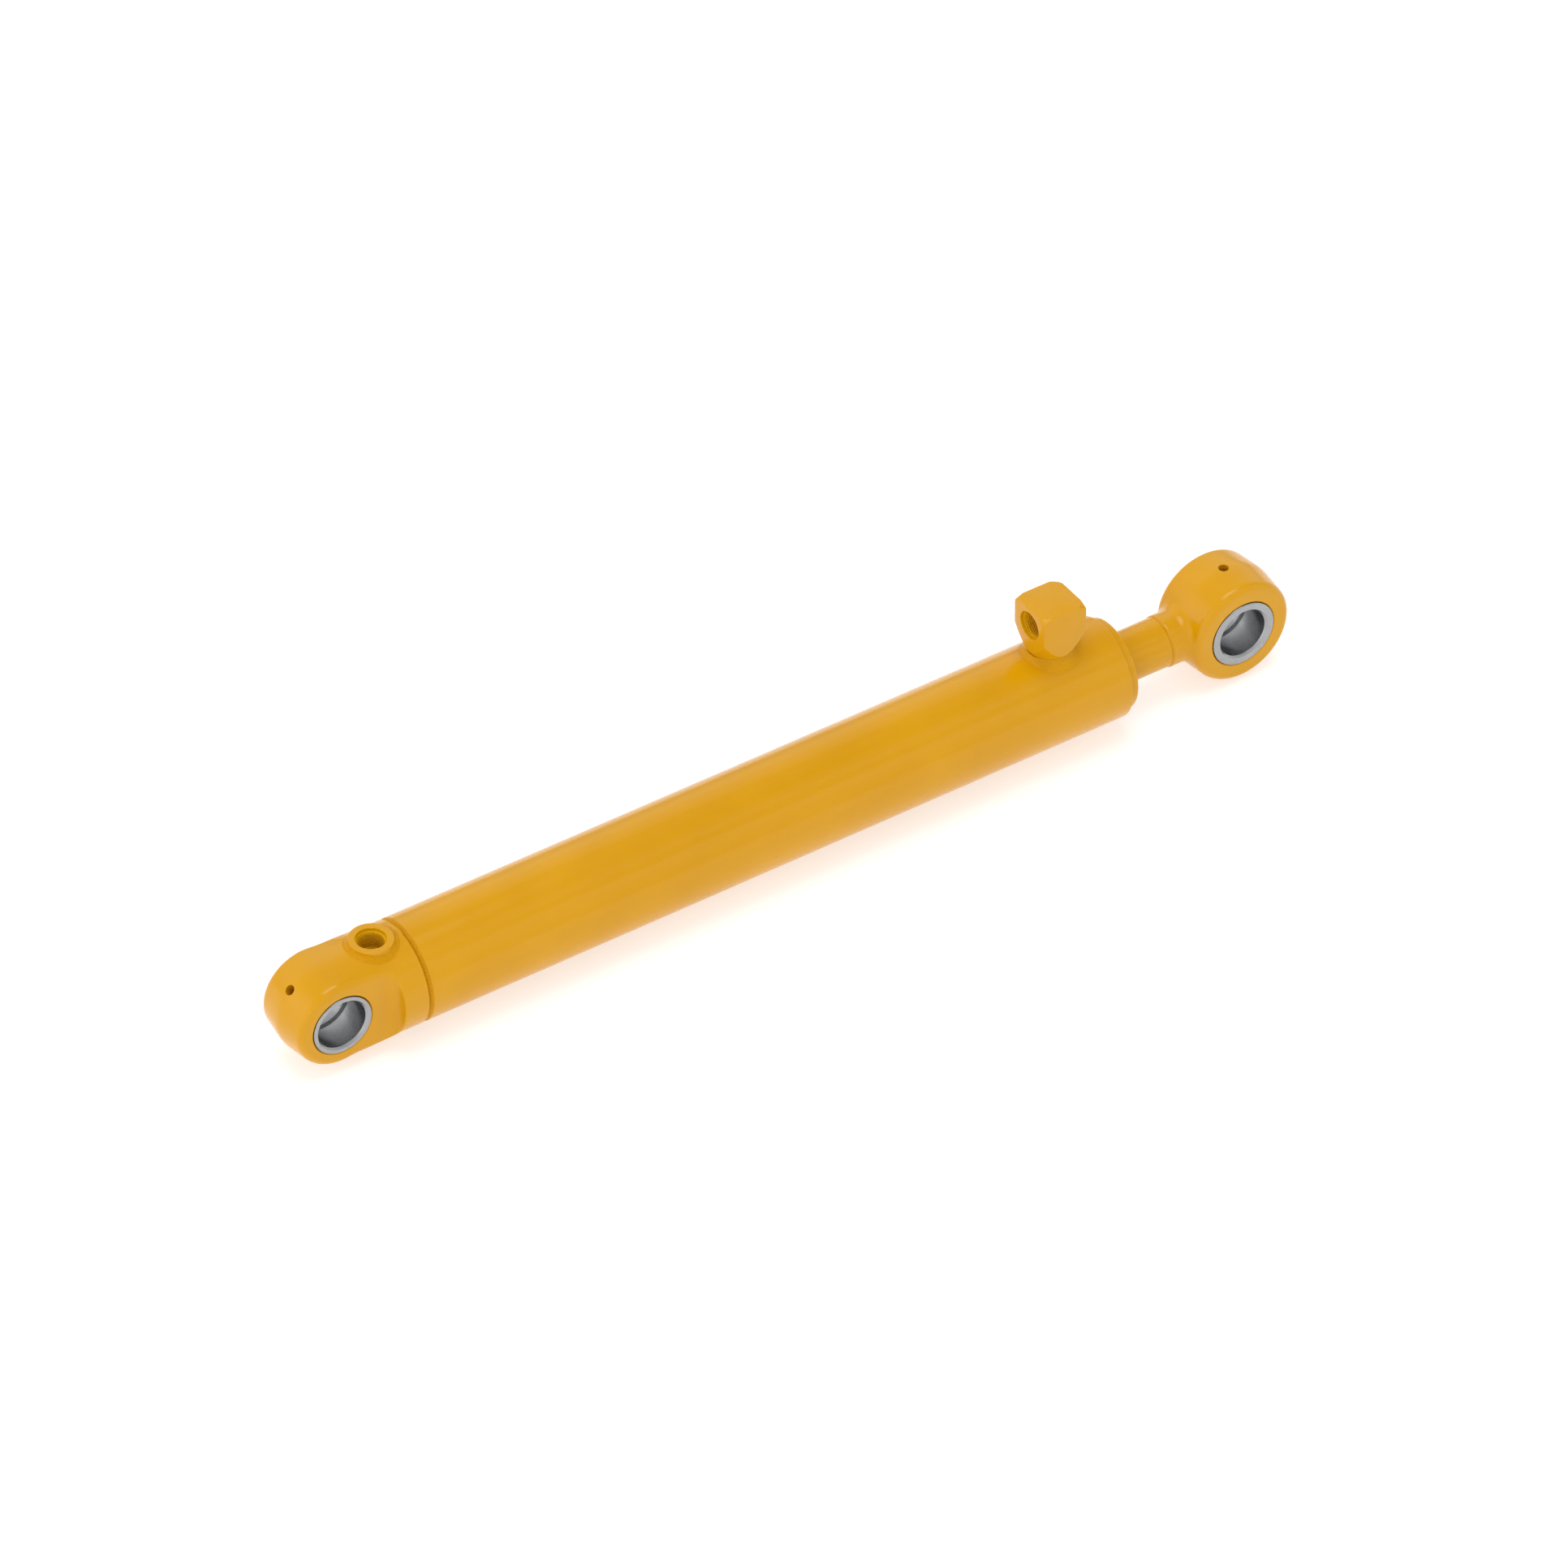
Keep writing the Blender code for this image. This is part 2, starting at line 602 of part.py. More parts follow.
def make_nut():
    """A hexagon nut, turned at both ends, with a set screw through one flat into the thread."""
    start, end = PISTON_START - GAP - NUT_HEIGHT, PISTON_START - GAP
    mesh = bpy.data.meshes.new("piston_nut")
    edit = bmesh.new()
    corner = NUT_FLATS / math.sqrt(3)
    bmesh.ops.create_cone(
        edit, cap_ends=True, segments=6, radius1=corner, radius2=corner, depth=end - start
    )
    edit.to_mesh(mesh)
    edit.free()
    nut = bpy.data.objects.new("piston_nut", mesh)
    nut.location = (0.5 * (start + end), 0, 0)
    nut.rotation_euler = (0, math.pi / 2, 0)
    steel(nut)
    flat = NUT_FLATS / 2
    turning = [
        (start - 1 * MM, 0),
        (start - 1 * MM, flat - 1.5 * MM),
        (start + 1.5 * MM, corner + 0.2 * MM),
        (end - 1.5 * MM, corner + 0.2 * MM),
        (end + 1 * MM, flat - 1.5 * MM),
        (end + 1 * MM, 0),
    ]
    combine(nut, cutter(turned("nut_turning", turning)), "INTERSECT")
    combine(nut, rod_cutter("nut_thread", start - 2 * MM, end + 2 * MM, THREAD_R + GAP), "DIFFERENCE")
    screw_x, screw_r = start + 6 * MM, 2.2 * MM
    side = (screw_x, 0, 0)
    hole = rod_cutter("set_screw_hole", THREAD_R - 1 * MM, 20 * MM, screw_r + GAP, "Z", side, 16)
    combine(nut, hole, "DIFFERENCE")
    low, high = THREAD_R + GAP, flat - 0.4 * MM
    socket = 1.0 * MM
    screw = [(low, 0), (low, 1.2 * MM), (low + 1 * MM, screw_r), (high, screw_r), (high, socket)]
    screw += [(high - 2 * MM, socket), (high - 2 * MM, 0)]
    steel(turned("nut_set_screw", screw, "Z", side, 12))


def make_rod_eye():
    """The forged rod eye: a ring with a stub whose bevelled end meets the rod."""
    centre = (PIN_TO_PIN, 0, 0)
    eye = painted(turned("rod_eye", eye_profile(ROD_FACE_Y, ROD_RIDGE_R, ROD_DRAFT), "Y", centre))
    stub = [
        (ROOT_X + GAP, 0),
        (ROOT_X + GAP, ROOT_R),
        (NECK_END + GAP, ROD_R),
        (NECK_END + 1.5 * MM, NECK_R),
        (NECK_END + 3.5 * MM, NECK_R + 0.6 * MM),
        (NECK_END + 5.0 * MM, NECK_R + 2.0 * MM),
        (576 * MM, NECK_R + 4 * MM),
        (576 * MM, 0),
    ]
    combine(eye, cutter(turned("eye_stub", stub)), "UNION")
    bore_r = ROD_BUSHING_R + GAP
    bore = rod_cutter("rod_eye_bore", -40 * MM, 40 * MM, bore_r, "Y", centre, SEGMENTS)
    combine(eye, bore, "DIFFERENCE")
    combine(eye, grease_cutter("rod_grease_hole", centre, math.pi / 2, 45 * MM), "DIFFERENCE")


clear_scene()
parts = new_collection("hydraulic_cylinder")
cutters = new_collection("cutters")
make_cap()
make_bushing("cap_eye_bushing", (0, 0, 0), CAP_BUSHING_Y, CAP_BUSHING_R, CAP_GREASE_ANGLE)
make_tube()
make_cap_port()
make_elbow()
make_gland()
make_gland_seals()
make_piston()
make_piston_rings()
make_rod()
make_nut()
make_rod_eye()
make_bushing("rod_eye_bushing", (PIN_TO_PIN, 0, 0), ROD_BUSHING_Y, ROD_BUSHING_R, math.pi / 2)
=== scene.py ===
"""The finished surfaces of a closed hydraulic cylinder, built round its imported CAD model."""
import math

import bmesh
import bpy
import numpy as np
from mathutils import Matrix, Vector


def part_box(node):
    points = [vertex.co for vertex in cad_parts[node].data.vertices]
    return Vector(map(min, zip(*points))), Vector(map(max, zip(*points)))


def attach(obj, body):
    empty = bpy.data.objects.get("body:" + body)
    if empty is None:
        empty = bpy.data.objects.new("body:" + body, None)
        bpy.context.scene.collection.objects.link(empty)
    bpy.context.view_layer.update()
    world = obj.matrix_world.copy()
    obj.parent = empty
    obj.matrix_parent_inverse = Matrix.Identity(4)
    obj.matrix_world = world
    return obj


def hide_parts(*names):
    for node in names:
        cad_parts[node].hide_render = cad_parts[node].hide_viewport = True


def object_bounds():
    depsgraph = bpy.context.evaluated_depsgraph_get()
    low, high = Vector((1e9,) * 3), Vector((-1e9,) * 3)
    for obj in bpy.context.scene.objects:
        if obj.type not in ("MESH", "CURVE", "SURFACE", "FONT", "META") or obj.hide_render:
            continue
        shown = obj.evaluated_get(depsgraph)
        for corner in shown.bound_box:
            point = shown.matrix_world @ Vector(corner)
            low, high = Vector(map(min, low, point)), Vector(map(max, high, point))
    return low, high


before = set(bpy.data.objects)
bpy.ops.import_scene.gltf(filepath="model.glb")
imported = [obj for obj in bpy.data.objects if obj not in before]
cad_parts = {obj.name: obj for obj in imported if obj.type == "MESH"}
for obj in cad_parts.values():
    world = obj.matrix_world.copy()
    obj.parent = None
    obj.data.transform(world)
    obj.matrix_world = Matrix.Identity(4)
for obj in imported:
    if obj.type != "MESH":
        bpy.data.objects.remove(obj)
cad_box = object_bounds()

MM = 0.001
GAP = 0.3 * MM


# ---------------------------------------------------------------- sizes

def low(node):
    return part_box(node)[0]


def high(node):
    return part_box(node)[1]


# The tube, the rod and the pins. A size that no box of the CAD model shows is given as it was drawn.
TUBE_R = high("barrel_tube").y
TUBE_END = high("barrel_tube").x
BORE_R = 25.0 * MM
ROD_R = high("piston_rod").y
ROD_START = low("piston_rod").x
ROD_THREAD_R = 9.7 * MM
ROD_THREAD_END = 62.3 * MM
ROD_SPIGOT_R = 11.0 * MM
ROD_SHOULDER = 98.6 * MM
PIN_R = 15.0 * MM
PIN_TO_PIN = 0.5 * (low("rod_eye_bushing").x + high("rod_eye_bushing").x)
BUSHING_PROUD = 0.5 * MM
GREASE_R = 3.0 * MM

# The two forged ends: CELL is the grid their surfaces are drawn on.
CELL = 0.8 * MM
RIDGE_SOFTNESS = 2.0 * MM
CAP_END = low("cap_weld_bead").x - GAP
TUBE_START = high("cap_weld_bead").x + GAP
SPIGOT_START = 44.0 * MM
SPIGOT_END = high("cap_end_eye").x
CAP_FACE_Y = high("cap_eye_bushing").y - BUSHING_PROUD
CAP_RIDGE_R = -low("cap_end_eye").x
CAP_BUSHING_R = high("cap_eye_bushing").x
CAP_DRAFT = 0.138
CAP_RIM = 4.0 * MM
CAP_STEP_X = 34.2 * MM
CAP_STEP_FILLET = 8.0 * MM
CAP_STEP_EDGE = 1.0 * MM
CAP_EDGE_START = 10.0 * MM
CAP_EDGE_LENGTH = 18.0 * MM
CAP_GREASE_ANGLE = math.radians(135)
NUT_POCKET_R = 17.9 * MM
NUT_POCKET_START = 41.5 * MM

ROD_FACE_Y = high("rod_eye_bushing").y - BUSHING_PROUD
ROD_RIDGE_R = high("rod_eye").x - PIN_TO_PIN
ROD_BUSHING_R = high("rod_eye_bushing").x - PIN_TO_PIN
ROD_DRAFT = 0.116
ROD_RIM = 4.0 * MM
ROD_FLARE = 4.2 * MM
ROD_GREASE_ANGLE = math.pi / 2
NECK_START = low("rod_eye_weld").x
NECK_END = high("rod_eye_weld").x
NECK_R = high("rod_eye_weld").y
WELD_ROOT_X = 0.5 * (NECK_START + NECK_END)
WELD_ROOT_R = 4.0 * MM

# The ports. Both have the same threaded mouth.
CAP_PORT_X = 0.5 * (low("cap_port_boss").x + high("cap_port_boss").x)
CAP_PORT_TOP = high("cap_port_boss").z
CAP_BOSS_R = high("cap_port_boss").y
CAP_BOSS_SEAT = low("cap_port_boss").z
BOSS_FILLET = 3.2 * MM
ELBOW_X = 0.5 * (low("rod_port_elbow").x + high("rod_port_elbow").x)
ELBOW_HALF = high("rod_port_elbow").y
ELBOW_TOP = high("rod_port_elbow").z
ELBOW_PORT_Z = ELBOW_TOP - 11.6 * MM
ELBOW_FOOT_Z = high("rod_port_weld").z + GAP
FOOT_POST_R = 12.6 * MM
FOOT_FILLET = 5.5 * MM
PORT_R = 8.7 * MM
PORT_RECESS = 2.2 * MM
PORT_DEPTH = 12.6 * MM
PORT_CHAMFER = 0.35 * MM
THREAD_R = 7.5 * MM
THREAD_PITCH = 1.34 * MM
THREAD_DEPTH = 0.45 * MM
PASSAGE_R = 5.5 * MM

# The gland and the wiper in its face.
GLAND_START = low("head_gland").x
GLAND_FACE = high("head_gland").x
GLAND_HEAD_R = high("head_gland").y
GLAND_STEM_R = 21.5 * MM
GLAND_PILOT_X = 487.5 * MM
GLAND_PILOT_R = 24.6 * MM
WIPER_R = high("rod_wiper").y
WIPER_START = low("rod_wiper").x
WIPER_LIP = high("rod_wiper").x

SHARP_EDGE = math.radians(32)


# ---------------------------------------------------------------- mesh helpers

def new_object(name, data):
    obj = bpy.data.objects.new(name, data)
    bpy.context.scene.collection.objects.link(obj)
    return obj


def axis_matrix(axis, centre=(0, 0, 0)):
    """Takes local +Z to the named world axis, about centre."""
    turn = {"X": Matrix.Rotation(math.pi / 2, 4, "Y"), "Y": Matrix.Rotation(-math.pi / 2, 4, "X")}
    return Matrix.Translation(centre) @ turn.get(axis, Matrix.Identity(4))


def fillet(points, radius, closed):
    """Rounds a profile's corners: points are (along, radius) or (along, radius, own fillet)."""
    arcs, straight, longest = 5, math.radians(172), 0.45
    result = []
    count = len(points)
    for k, point in enumerate(points):
        here = Vector(point[:2])
        size = point[2] if len(point) > 2 else radius
        at_end = not closed and k in (0, count - 1)
        if at_end or size <= 0:
            result.append(here)
            continue
        before = Vector(points[k - 1][:2]) - here
        after = Vector(points[(k + 1) % count][:2]) - here
        turn = before.angle(after, math.pi)
        if turn > straight:
            result.append(here)
            continue
        reach = size / math.tan(turn / 2)
        reach = min(reach, longest * before.length, longest * after.length)
        true_r = reach * math.tan(turn / 2)
        inward = (before.normalized() + after.normalized()).normalized()
        middle = here + inward * true_r / math.sin(turn / 2)
        first, last = here + before.normalized() * reach, here + after.normalized() * reach
        for step in range(arcs + 1):
            blend = (first - middle).lerp(last - middle, step / arcs)
            result.append(middle + blend.normalized() * true_r)
    return result


def lathe(name, points, axis="X", centre=(0, 0, 0), segments=128, radius=0.4 * MM, spread=None):
    """Turns a profile, listed low to high along its outside, into a smooth closed surface.

    A profile that starts at radius 0 is solid, and any other is a ring's closed loop. spread may change
    a point's (along, radius) by its angle.
    """
    solid = points[0][1] <= 0
    profile = fillet(points, radius, closed=not solid)
    edit = bmesh.new()
    rows = []
    for along, reach in profile:
        if reach < 1e-7:
            rows.append([edit.verts.new((0, 0, along))])
            continue
        row = []
        for k in range(segments):
            angle = 2 * math.pi * k / segments
            a, r = spread(angle, along, reach) if spread else (along, reach)
            row.append(edit.verts.new((r * math.cos(angle), r * math.sin(angle), a)))
        rows.append(row)
    pairs = list(zip(rows, rows[1:])) + ([] if solid else [(rows[-1], rows[0])])
    for first, second in pairs:
        for k in range(segments):
            after = (k + 1) % segments
            corners = [first[k % len(first)], first[after % len(first)]]
            corners += [second[after % len(second)], second[k % len(second)]]
            corners = list(dict.fromkeys(corners))
            if len(corners) > 2:
                edit.faces.new(corners)
    edit.transform(axis_matrix(axis, centre))
    return finish_mesh(name, edit)


def shade(mesh):
    """Smooth, except across real edges."""
    mesh.shade_smooth()
    mesh.set_sharp_from_angle(angle=SHARP_EDGE)


def finish_mesh(name, edit):
    """Makes an edited mesh into an object, with its faces turned outward."""
    bmesh.ops.recalc_face_normals(edit, faces=edit.faces)
    mesh = bpy.data.meshes.new(name)
    edit.to_mesh(mesh)
    edit.free()
    shade(mesh)
    return new_object(name, mesh)


def apply_modifiers(obj):
    depsgraph = bpy.context.evaluated_depsgraph_get()
    mesh = bpy.data.meshes.new_from_object(obj.evaluated_get(depsgraph))
    obj.modifiers.clear()
    old, obj.data = obj.data, mesh
    mesh.name = obj.name
    bpy.data.meshes.remove(old)
    shade(mesh)


def combine(target, tools, operation="DIFFERENCE"):
    """Joins or cuts target with each tool, whose own material comes with its faces, and removes the tools."""
    for tool in tools:
        modifier = target.modifiers.new(tool.name, "BOOLEAN")
        modifier.operation = operation
        modifier.object = tool
        modifier.solver = "EXACT"
        modifier.material_mode = "TRANSFER"
    apply_modifiers(target)
    for tool in tools:
        bpy.data.objects.remove(tool)


def drill(start, end, radius, axis="X", centre=(0, 0, 0), mouth=0.0, segments=64):
    """A straight cutter from start to end. A mouth widens it by that much, flare short of its end."""
    flare = 5 * MM
    points = [(start, 0), (start, radius)]
    if mouth:
        points.append((end - mouth - flare, radius))
        points.append((end - flare, radius + mouth))
        points.append((end, radius + mouth + flare))
    else:
        points.append((end, radius))
    points.append((points[-1][0], 0))
    return lathe("drill", points, axis, centre, segments, radius=0)


def aim_xz(obj, centre, angle):
    """Turns a cutter that runs along +Z to an angle in the XZ plane, measured from +X, about centre."""
    turn = Matrix.Rotation(math.pi / 2 - angle, 4, "Y")
    obj.data.transform(Matrix.Translation(centre) @ turn @ Matrix.Translation(-Vector(centre)))
    return obj


# ---------------------------------------------------------------- smooth forged bodies

def round_max(a, b, radius):
    """Keeps what lies inside both fields, with its outer edge rounded to a true radius."""
    inner = np.minimum(np.maximum(a, b), -radius)
    return inner + np.hypot(np.maximum(a + radius, 0), np.maximum(b + radius, 0))


def round_min(a, b, radius):
    """Joins two fields, with the inner corner between them filled to a true radius."""
    return -round_max(-a, -b, radius)


def surface_of(name, field, lowest, highest, step):
    """A quad mesh on field = 0 between two corners: one point in each grid cell the surface crosses."""
    axes = [np.arange(lo, hi + step, step) for lo, hi in zip(lowest, highest)]
    value = field(*np.meshgrid(*axes, indexing="ij"))
    inside = value < 0
    shape = np.array(value.shape) - 1
    total = np.zeros((*shape, 3))
    hits = np.zeros(shape)
    corners = [(i, j, k) for i in (0, 1) for j in (0, 1) for k in (0, 1)]
    def window(c, data):
        return data[tuple(slice(c[n], c[n] + shape[n]) for n in range(3))]
    for first in corners:
        for n in range(3):
            if first[n]:
                continue
            second = tuple(c + (m == n) for m, c in enumerate(first))
            a, b = window(first, value), window(second, value)
            crosses = (a < 0) != (b < 0)
            share = np.where(crosses, a / np.where(crosses, a - b, 1), 0)
            for m in range(3):
                total[..., m] += np.where(crosses, first[m] + (share if m == n else 0), 0)
            hits += crosses
    filled = hits > 0
    index = np.full(shape, -1)
    index[filled] = np.arange(filled.sum())
    cells = np.argwhere(filled)
    points = np.array(lowest) + step * (cells + total[filled] / hits[filled][:, None])
    points = settle(points, field, step)
    quads = []
    for n in range(3):
        u, v = [m for m in range(3) if m != n]
        here = tuple(slice(1, -1) if m != n else slice(0, shape[n]) for m in range(3))
        there = tuple(slice(1, -1) if m != n else slice(1, shape[n] + 1) for m in range(3))
        crossing = np.argwhere(inside[here] != inside[there])
        crossing = crossing + np.array([0 if m == n else 1 for m in range(3)])
        offsets = []
        for du, dv in ((-1, -1), (0, -1), (0, 0), (-1, 0)):
            offset = np.zeros(3, int)
            offset[u], offset[v] = du, dv
            offsets.append(offset)
        ring = np.stack([index[tuple((crossing + offset).T)] for offset in offsets], axis=1)
        flip = inside[tuple(crossing.T)] == (n == 1)
        ring[flip] = ring[flip][:, ::-1]
        quads.append(ring)
    quads = np.concatenate(quads)
    quads = quads[(quads >= 0).all(axis=1)]
    mesh = bpy.data.meshes.new(name)
    mesh.from_pydata(points.tolist(), [], quads.tolist())
    mesh.update()
    return mesh


def settle(points, field, step):
    """Moves the points on to the surface along its slope."""
    rounds, nudge, farthest = 4, 0.05 * step, 0.5 * step
    for _ in range(rounds):
        x, y, z = points.T
        value = field(x, y, z)
        slope = np.stack([
            field(x + nudge, y, z) - field(x - nudge, y, z),
            field(x, y + nudge, z) - field(x, y - nudge, z),
            field(x, y, z + nudge) - field(x, y, z - nudge),
        ], axis=1) / (2 * nudge)
        move = -value[:, None] * slope / np.maximum((slope**2).sum(axis=1), 1e-6)[:, None]
        points = points + np.clip(move, -farthest, farthest)
    return points


def off_parting(y):
    """The distance from the parting plane, softened where the two drafts meet in a ridge."""
    return np.sqrt(y**2 + RIDGE_SOFTNESS**2) - RIDGE_SOFTNESS


def eye_field(x, y, z, face_y, ridge_r, draft, rim):
    """A forged ring about Y: a soft ridge on the parting line, drafted sides and rounded rims."""
    side = (np.hypot(x, z) - ridge_r + draft * off_parting(y)) / math.hypot(1, draft)
    return round_max(side, np.abs(y) - face_y, rim)


def close_at(mesh, x):
    """Cuts a mesh off square at x and caps it."""
    edit = bmesh.new()
    edit.from_mesh(mesh)
    everything = edit.verts[:] + edit.edges[:] + edit.faces[:]
    bmesh.ops.bisect_plane(
        edit, geom=everything, plane_co=(x, 0, 0), plane_no=(1, 0, 0), clear_outer=True, dist=1e-7,
    )
    bmesh.ops.holes_fill(edit, edges=[e for e in edit.edges if e.is_boundary], sides=0)
    return edit


# ---------------------------------------------------------------- materials

def srgb(red, green, blue):
    def linear(value):
        value /= 255
        return value / 12.92 if value <= 0.04045 else ((value + 0.055) / 1.055) ** 2.4
    return (linear(red), linear(green), linear(blue), 1)


def start_material(name, roughness, metallic=0.0):
    material = bpy.data.materials.new(name)
    material.use_nodes = True
    tree = material.node_tree
    shader = tree.nodes["Principled BSDF"]
    shader.inputs["Roughness"].default_value = roughness
    shader.inputs["Metallic"].default_value = metallic
    return material, tree, shader


def add(tree, kind, **values):
    """A node with its inputs and settings given by name."""
    node = tree.nodes.new(kind)
    for key, value in values.items():
        if key in node.inputs:
            node.inputs[key].default_value = value
        else:
            setattr(node, key, value)
    return node


def place_noise(tree, scale, detail=3.0, roughness=0.5, stretch=(1, 1, 1)):
    """Noise laid out in metres on the object, stretched along its axes."""
    where = tree.nodes.new("ShaderNodeTexCoord")
    mapping = tree.nodes.new("ShaderNodeMapping")
    mapping.inputs["Scale"].default_value = stretch
    noise = add(tree, "ShaderNodeTexNoise", Scale=scale, Detail=detail, Roughness=roughness)
    tree.links.new(where.outputs["Object"], mapping.inputs["Vector"])
    tree.links.new(mapping.outputs["Vector"], noise.inputs["Vector"])
    return noise


def ramp(tree, source, stops):
    """A colour ramp of (position, colour) stops."""
    node = tree.nodes.new("ShaderNodeValToRGB")
    elements = node.color_ramp.elements
    while len(elements) < len(stops):
        elements.new(0.5)
    for element, (position, colour) in zip(elements, stops):
        element.position = position
        element.color = colour
    tree.links.new(source, node.inputs["Fac"])
    return node


def grey(value):
    return (value, value, value, 1)


def bump(tree, source, strength, distance, before=None):
    node = add(tree, "ShaderNodeBump", Strength=strength, Distance=distance)
    tree.links.new(source, node.inputs["Height"])
    if before is not None:
        tree.links.new(before, node.inputs["Normal"])
    return node


def paint(name, colour, deeper, roughness, shine=0.28, drift_scale=22, grain=0.0, peel=0.00003):
    """Sprayed enamel: a colour that drifts a little, orange peel, and the casting's grain under it."""
    material, tree, shader = start_material(name, roughness[0])
    drift = place_noise(tree, scale=drift_scale, detail=4)
    tint = ramp(tree, drift.outputs["Fac"], [(0.30, deeper), (0.72, colour)])
    tree.links.new(tint.outputs["Color"], shader.inputs["Base Color"])
    haze = place_noise(tree, scale=60, detail=5)
    gloss = ramp(tree, haze.outputs["Fac"], [(0.3, grey(roughness[0])), (0.7, grey(roughness[1]))])
    tree.links.new(gloss.outputs["Color"], shader.inputs["Roughness"])
    skin = place_noise(tree, scale=900, detail=2)
    normal = bump(tree, skin.outputs["Fac"], strength=0.25, distance=peel)
    if grain:
        cast = place_noise(tree, scale=420, detail=6, roughness=0.65)
        peeled = normal.outputs["Normal"]
        normal = bump(tree, cast.outputs["Fac"], strength=0.6, distance=grain, before=peeled)
    tree.links.new(normal.outputs["Normal"], shader.inputs["Normal"])
    shader.inputs["Specular IOR Level"].default_value = shine
    return material


def turned_steel(name, colour, bright, roughness, axis_stretch, scale=900, depth=0.00002):
    """Bare steel with fine turning marks round it, and the odd brighter pass."""
    material, tree, shader = start_material(name, roughness[0], 1.0)
    marks = place_noise(tree, scale, detail=4, roughness=0.6, stretch=axis_stretch)
    cloud = place_noise(tree, scale=90, detail=4)
    mix = add(tree, "ShaderNodeMix", data_type="FLOAT")
    mix.inputs[0].default_value = 0.35
    tree.links.new(marks.outputs["Fac"], mix.inputs[2])
    tree.links.new(cloud.outputs["Fac"], mix.inputs[3])
    tint = ramp(tree, mix.outputs[0], [(0.3, colour), (0.7, bright)])
    tree.links.new(tint.outputs["Color"], shader.inputs["Base Color"])
    gloss = ramp(tree, mix.outputs[0], [(0.3, grey(roughness[0])), (0.7, grey(roughness[1]))])
    tree.links.new(gloss.outputs["Color"], shader.inputs["Roughness"])
    normal = bump(tree, marks.outputs["Fac"], strength=0.5, distance=depth)
    tree.links.new(normal.outputs["Normal"], shader.inputs["Normal"])
    return material


YELLOW = srgb(211, 152, 6)
YELLOW_DEEP = srgb(205, 146, 3)
# The weld's speckle colour is a darker yellow: painted shade for the groove and fillets the welds fill, laid
# as a fine grain.
WELD_SHADE_SPECKLE = srgb(190, 128, 2)
# The foot's speckle colour is a darker yellow: painted shade under the elbow's foot.
FOOT_SHADE_SPECKLE = srgb(200, 140, 3)
# The two port yellows are a copy of the paint for the inside of the ports, set to how the shaded hole looks:
# painted shade and light.
PORT_SHADE_TUNED_YELLOW = srgb(226, 172, 6)
PORT_SHADE_TUNED_SPECKLE = srgb(200, 146, 3)
tube_paint = paint("tube_enamel", YELLOW, YELLOW_DEEP, (0.14, 0.20))
forging_paint = paint("forging_enamel", YELLOW, YELLOW_DEEP, (0.16, 0.24), grain=0.00004)
# Weld paint: the yellow speckled with a darker yellow, painted shade in the cap's weld groove and at the
# boss's foot, over grain.
weld_paint = paint(
    "weld_shade_enamel", YELLOW, WELD_SHADE_SPECKLE, (0.42, 0.55), shine=0.08, drift_scale=1800, grain=0.00012
)
# Foot paint: a darker, duller yellow for the fillet weld under the elbow, painted shade where the foot
# overhangs, with fine grain.
foot_shade_paint = paint(
    "foot_shade_enamel", YELLOW, FOOT_SHADE_SPECKLE, (0.35, 0.45), shine=0.12, drift_scale=1800, grain=0.00005
)
# Port paint: painted shade and light, a duller copy of the yellow for the inside of the ports, tuned to the
# look of the shaded hole.
port_shade_tuned_paint = paint(
    "port_shade_tuned_enamel", PORT_SHADE_TUNED_YELLOW, PORT_SHADE_TUNED_SPECKLE, (0.5, 0.6), shine=0.08, drift_scale=1100, grain=0.00008
)
bushing_steel = turned_steel(
    "bushing_turned_steel", srgb(150, 151, 153), srgb(170, 171, 173), (0.22, 0.32), (1, 26, 1)
)
plain_steel = turned_steel("plain_steel", srgb(150, 150, 152), srgb(178, 178, 180), (0.32, 0.45), (26, 1, 1))
iron = turned_steel("turned_iron", srgb(96, 96, 98), srgb(122, 122, 124), (0.4, 0.55), (26, 1, 1))
rod_chrome = turned_steel(
    "ground_chrome", srgb(205, 207, 210), srgb(216, 218, 220), (0.07, 0.13), (22, 1, 1),
    scale=600, depth=0.000004,
)


def moulded(name, colour, roughness):
    """A moulded ring: faint flow marks in its colour and a dull skin."""
    material, tree, shader = start_material(name, roughness)
    flow = place_noise(tree, scale=260, detail=5)
    darker = tuple(0.8 * c for c in colour[:3]) + (1,)
    tint = ramp(tree, flow.outputs["Fac"], [(0.3, darker), (0.7, colour)])
    tree.links.new(tint.outputs["Color"], shader.inputs["Base Color"])
    normal = bump(tree, flow.outputs["Fac"], strength=0.3, distance=0.00004)
    tree.links.new(normal.outputs["Normal"], shader.inputs["Normal"])
    return material


nitrile = moulded("nitrile", srgb(30, 30, 31), 0.6)
polyurethane = moulded("polyurethane", srgb(38, 44, 54), 0.42)
filled_ptfe = moulded("filled_ptfe", srgb(92, 84, 74), 0.5)
phenolic = moulded("phenolic_cloth", srgb(112, 74, 46), 0.6)


def dress(obj, material, slot, body, *nodes):
    """Finishes a piece: its main material, a slot, which is not used, its body and its CAD node.

    A port's shade-tuned copy of the paint, which came with its cutter, stays as the second material: painted
    shade and light inside the hole.
    """
    if obj.data.materials:
        obj.data.materials[0] = material
    else:
        obj.data.materials.append(material)
    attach(obj, body)
    if nodes:
        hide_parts(*nodes)


# ---------------------------------------------------------------- tube, cap and its weld

